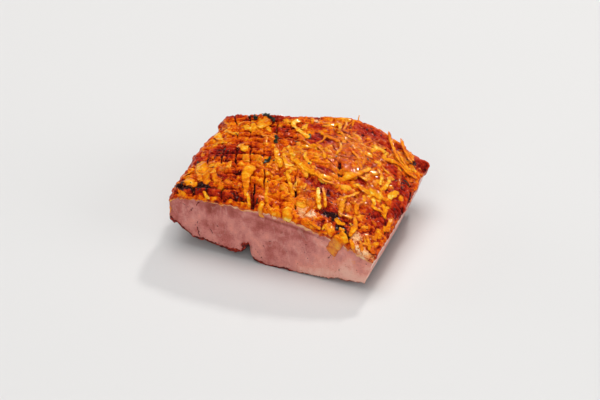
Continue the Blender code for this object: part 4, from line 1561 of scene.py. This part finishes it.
class StrewTree(Graph):
    """Geometry Nodes that strew shapes over a surface, thick where a named attribute is high.

    Long shapes are then laid down on the surface, so that they follow its rise and fall.
    """

    soften = 5
    sky = 0.3
    perches = (0.3, 1.7)
    turn_seed, size_seed, tint_seed, perch_seed = 3, 5, 7, 9

    def __init__(self, strewing: Strewing, shapes: bpy.types.Collection, material: bpy.types.Material) -> None:
        """Builds the tree.

        Args:
            strewing: How to strew.
            shapes: What to strew.
            material: What it is made of.
        """
        super().__init__(bpy.data.node_groups.new("strew_" + strewing.name, "GeometryNodeTree"))
        self.strewing = strewing
        self.values = {
            "Mask": strewing.mask, "Density": strewing.density, "Smallest": strewing.smallest,
            "Largest": strewing.largest, "Lift": strewing.lift * MM, "Tilt": strewing.tilt, "Seed": strewing.seed}
        self._socket("Surface", "Geometry", "INPUT")
        kinds = {"Mask": "String", "Seed": "Int"}
        self.sockets = {name: self._socket(name, kinds.get(name, "Float"), "INPUT") for name in self.values}
        self._socket("Bits", "Geometry", "OUTPUT")
        self._wire(shapes, material)

    def _socket(self, name: str, kind: str, way: str) -> str:
        """Adds a named input or output, and gives its identifier."""
        return self.tree.interface.new_socket(name, in_out=way, socket_type="NodeSocket" + kind).identifier

    def _random(self, low: Any, high: Any, seed: int, kind: str = "FLOAT") -> Value:
        """A random value for each point, between two values of its kind."""
        return self.add("FunctionNodeRandomValue", {"Min": low, "Max": high, "Seed": seed}, data_type=kind)

    def _stored(self, name: Any) -> Value:
        """Reads a value stored under a name."""
        return self.add("GeometryNodeInputNamedAttribute", {"Name": name}, data_type="FLOAT")

    def _joined(self, x: Any, y: Any, z: Any) -> Value:
        """Three values as one place or turn."""
        return self.add("ShaderNodeCombineXYZ", {"X": x, "Y": y, "Z": z})

    def _wire(self, shapes: bpy.types.Collection, material: bpy.types.Material) -> None:
        """Places, turns, sizes and tints the shapes, lays them down and makes them one mesh."""
        plan = self.strewing
        given = self.add("NodeGroupInput", {})
        ends = {name: given.other(name) for name in ("Surface", *self.values)}
        points = self.add("GeometryNodeDistributePointsOnFaces", {
            "Mesh": ends["Surface"], "Density": self._stored(ends["Mask"]) * ends["Density"], "Seed": ends["Seed"]})
        lean = ends["Tilt"] * -1.0
        turn = self._random(self._joined(lean, lean, -math.pi), self._joined(ends["Tilt"], ends["Tilt"], math.pi),
                            self.turn_seed, "FLOAT_VECTOR")
        size = self._random(ends["Smallest"], ends["Largest"], self.size_seed)
        source = self.add("GeometryNodeCollectionInfo", {
            "Collection": shapes, "Separate Children": True, "Reset Children": True})
        placed = self.add("GeometryNodeInstanceOnPoints", {
            "Points": points, "Instance": source, "Pick Instance": True,
            "Rotation": self.add("FunctionNodeEulerToRotation", {0: turn}), "Scale": size})
        tint = self._random(plan.middle_tint - plan.tint_range, plan.middle_tint + plan.tint_range, self.tint_seed)
        for name, value in (("tint", tint), ("size", size), ("perch", self._random(*self.perches, self.perch_seed))):
            placed = self.add("GeometryNodeStoreNamedAttribute", {"Geometry": placed, "Name": name, "Value": value},
                              domain="INSTANCE", data_type="FLOAT")
        laid = self._lay(self.add("GeometryNodeRealizeInstances", {"Geometry": placed}), ends)
        dressed = self.add("GeometryNodeSetMaterial", {"Geometry": laid, "Material": material})
        self.feed(self.tree.nodes.new("NodeGroupOutput").inputs[0], dressed)

    def _lay(self, bits: Value, ends: dict[str, Value]) -> Value:
        """Drops each vertex to its own height over the softened surface right below it."""
        place = self.add("GeometryNodeInputPosition", {})
        soft = self.add("GeometryNodeBlurAttribute", {"Value": place, "Iterations": self.soften},
                        data_type="FLOAT_VECTOR")
        ground = self.add("GeometryNodeSetPosition", {"Geometry": ends["Surface"], "Position": soft})
        x = self.add("ShaderNodeSeparateXYZ", {0: place})
        y = x.other(1)
        hit = self.add("GeometryNodeRaycast", {
            "Target Geometry": ground, "Source Position": self._joined(x, y, self.sky),
            "Ray Direction": (0.0, 0.0, -1.0), "Ray Length": 2 * self.sky}, "Is Hit")
        height = self.add("ShaderNodeSeparateXYZ", {0: hit.other("Hit Position")}, 2)
        height = height + ends["Lift"] * self._stored("perch") + self._stored("stand") * self._stored("size")
        return self.add("GeometryNodeSetPosition", {
            "Geometry": bits, "Selection": hit, "Position": self._joined(x, y, height)})

    def strew(self, surface: bpy.types.Object) -> bpy.types.Object:
        """Strews over a surface, and keeps the result as a plain mesh.

        Args:
            surface: The piece to strew over, which isn't changed.

        Returns:
            The bits as one piece.
        """
        holder = show("holder", surface.data)
        modifier = holder.modifiers.new("strew", "NODES")
        modifier.node_group = self.tree
        for name, value in self.values.items():
            modifier[self.sockets[name]] = value
        bpy.context.view_layer.update()
        graph = bpy.context.evaluated_depsgraph_get()
        mesh = bpy.data.meshes.new_from_object(holder.evaluated_get(graph), depsgraph=graph)
        mesh.name = self.strewing.name
        bpy.data.objects.remove(holder)
        return show(mesh.name, mesh)


@dataclass(frozen=True)
class Topping:
    """Everything small that is strewn over the crust."""

    crust: bpy.types.Object
    strewings: tuple[Strewing, ...] = each(
        Strewing, ("shreds", BitShape.SHRED, "shreds", 10000, 0.8, 1.5, 0.0, 1, 10, 0.0, 0.45, 0.35),
        ("threads", BitShape.THREAD, "shreds", 5000, 0.5, 1.1, 0.2, 2, 10, 0.0, 0.5, 0.35),
        ("torn_flakes", BitShape.FLAKE, "shreds", 13000, 0.8, 2.0, 0.0, 3, 8, 0.0, 0.6, 0.35),
        ("amber_flakes", BitShape.FLAKE, "amber", 9000, 0.7, 1.6, 0.2, 8, 8, 0.0, 0.55, 0.3),
        ("crumbs", BitShape.CRUMB, "bits", 16000, 0.5, 1.2, 0.0, 4, 6, 0.6),
        ("char_bits", BitShape.CRUMB, "burnt_bits", 60000, 0.7, 2.2, 0.1, 5, 6, 0.6),
        ("herbs", BitShape.FLAKE, "bits", 900, 0.2, 0.4, 0.5, 6, 6, 0.3))

    def finishes(self) -> dict[str, bpy.types.Material]:
        """The material of each kind of bit."""
        peel = PeelFinish(PeelKind.ORANGE).make()
        return {
            "shreds": peel, "threads": peel, "torn_flakes": peel, "amber_flakes": PeelFinish(PeelKind.GOLDEN).make(),
            "crumbs": BitFinish("crumb", srgb(150, 44, 14), srgb(238, 140, 34), 0.3, 0.8, 0.2).make(),
            "char_bits": BitFinish("char", srgb(22, 12, 10), srgb(74, 26, 16), 0.45, 0.4).make(),
            "herbs": BitFinish("herb", srgb(18, 24, 18), srgb(52, 58, 36), 0.5, 0.4).make()}

    def build(self) -> dict[str, bpy.types.Object]:
        """Strews every kind.

        Returns:
            The pieces by name.
        """
        finishes = self.finishes()
        made = {}
        for strewing in self.strewings:
            shapes = BitMaker(strewing.shape, strewing.variants, 10 * strewing.seed).build()
            made[strewing.name] = StrewTree(strewing, shapes, finishes[strewing.name]).strew(self.crust)
            for source in list(shapes.objects):
                bpy.data.objects.remove(source)
            bpy.data.collections.remove(shapes)
        return made


@dataclass(frozen=True)
class Lamp:
    """One soft, square lamp that faces the ham."""

    name: str
    position: tuple[float, float, float]
    size: float
    power: float
    shines: bool = False
    colour: Colour = (1.0, 1.0, 1.0)

    def build(self, aim: Vector) -> None:
        """Makes the lamp. One that doesn't shine leaves no reflection in the glaze."""
        lamp = bpy.data.lights.new(self.name, "AREA")
        lamp.size, lamp.energy, lamp.color = self.size, self.power, self.colour
        holder = show(self.name, lamp)
        holder.location = self.position
        holder.rotation_euler = (aim - Vector(self.position)).to_track_quat("-Z", "Y").to_euler()
        holder.visible_glossy = self.shines


@dataclass(frozen=True)
class Studio:
    """The camera, the soft lights and the table. Its sizes are metres, but for the lens and the target."""

    azimuth: float = 21.42
    elevation: float = 37.0
    lens: float = 128.8
    sensor: float = 36.0
    distance: float = 1.923
    target: tuple[float, float, float] = (2.0, 10.3, 20.0)
    aim: tuple[float, float, float] = (0.0, 0.0, 0.03)
    lamps: tuple[Lamp, ...] = each(
        Lamp, ("window", (0.3, 3.0, 2.8), 0.40, 58.0, True, (1.0, 0.98, 0.95)),
        ("ceiling", (-0.4, 0.4, 4.2), 3.0, 124.0), ("front_fill", (0.6, -3.2, 2.4), 4.0, 65.0),
        ("right_fill", (3.4, 0.2, 1.3), 2.0, 36.0), ("left_fill", (-3.4, 0.0, 0.9), 2.0, 20.0))
    room: float = 0.10
    room_colour: Colour = (0.95, 0.97, 1.0)
    table_reach: float = 4.0

    def camera(self, place: Place) -> None:
        """Makes the camera, looking at the ham."""
        turn, rise = math.radians(self.azimuth), math.radians(self.elevation)
        away = Vector((math.sin(turn) * math.cos(rise), -math.cos(turn) * math.cos(rise), math.sin(rise)))
        lens = bpy.data.cameras.new("camera")
        lens.lens, lens.sensor_width = self.lens, self.sensor
        camera = show("camera", lens)
        camera.location = Vector(place.metres(np.array(self.target))) + away * self.distance
        camera.rotation_euler = (-away).to_track_quat("-Z", "Y").to_euler()
        bpy.context.scene.camera = camera

    def build(self, place: Place) -> bpy.types.Object:
        """Makes the camera, the lights and the table.

        Returns:
            The table's top.
        """
        scene = bpy.context.scene
        scene.view_settings.view_transform = "Standard"
        self.camera(place)
        for lamp in self.lamps:
            lamp.build(Vector(self.aim))
        scene.world = bpy.data.worlds.new("room")
        scene.world.use_nodes = True
        background = scene.world.node_tree.nodes["Background"]
        background.inputs["Color"].default_value = (*self.room_colour, 1.0)
        background.inputs["Strength"].default_value = self.room
        mesh = bpy.data.meshes.new("table")
        work = bmesh.new()
        bmesh.ops.create_grid(work, x_segments=1, y_segments=1, size=self.table_reach)
        work.to_mesh(mesh)
        work.free()
        mesh.materials.append(FloorFinish().make())
        return show("table", mesh)


def settle(piece: bpy.types.Object, slot: str, *nodes: str) -> None:
    """Makes a piece ride on the ham, and hides the solids that it stands for."""
    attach(piece, "root")
    if nodes:
        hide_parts(*nodes)
    log.info("%s: %d faces", piece.name, len(piece.data.polygons))


def main() -> None:
    """Builds every piece in order."""
    logging.basicConfig(level=logging.INFO, format="%(name)s %(message)s")
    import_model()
    form = HamForm()
    place = Place(form)
    Studio().build(place)

    settle(Joint(form, place).build(), "ham", "ham")
    top = Crust(form, place)
    crust = top.build()
    settle(crust, "ham")

    draper = Draper(top, place)
    golden = PeelFinish(PeelKind.GOLDEN).make()
    for node, piece in LargePeel(draper, golden).build().items():
        settle(piece, "peel", node)
    loose = LooseStrips(draper)
    settle(loose.build_peel(golden), "peel")
    settle(loose.build_leaves(BitFinish("leaf", srgb(8, 12, 10), srgb(60, 58, 26), 0.5, 0.25).make()), "ham")

    for name, piece in Topping(crust).build().items():
        settle(piece, "ham" if name in ("crumbs", "char_bits", "herbs") else "peel")


if __name__ == "__main__":
    main()
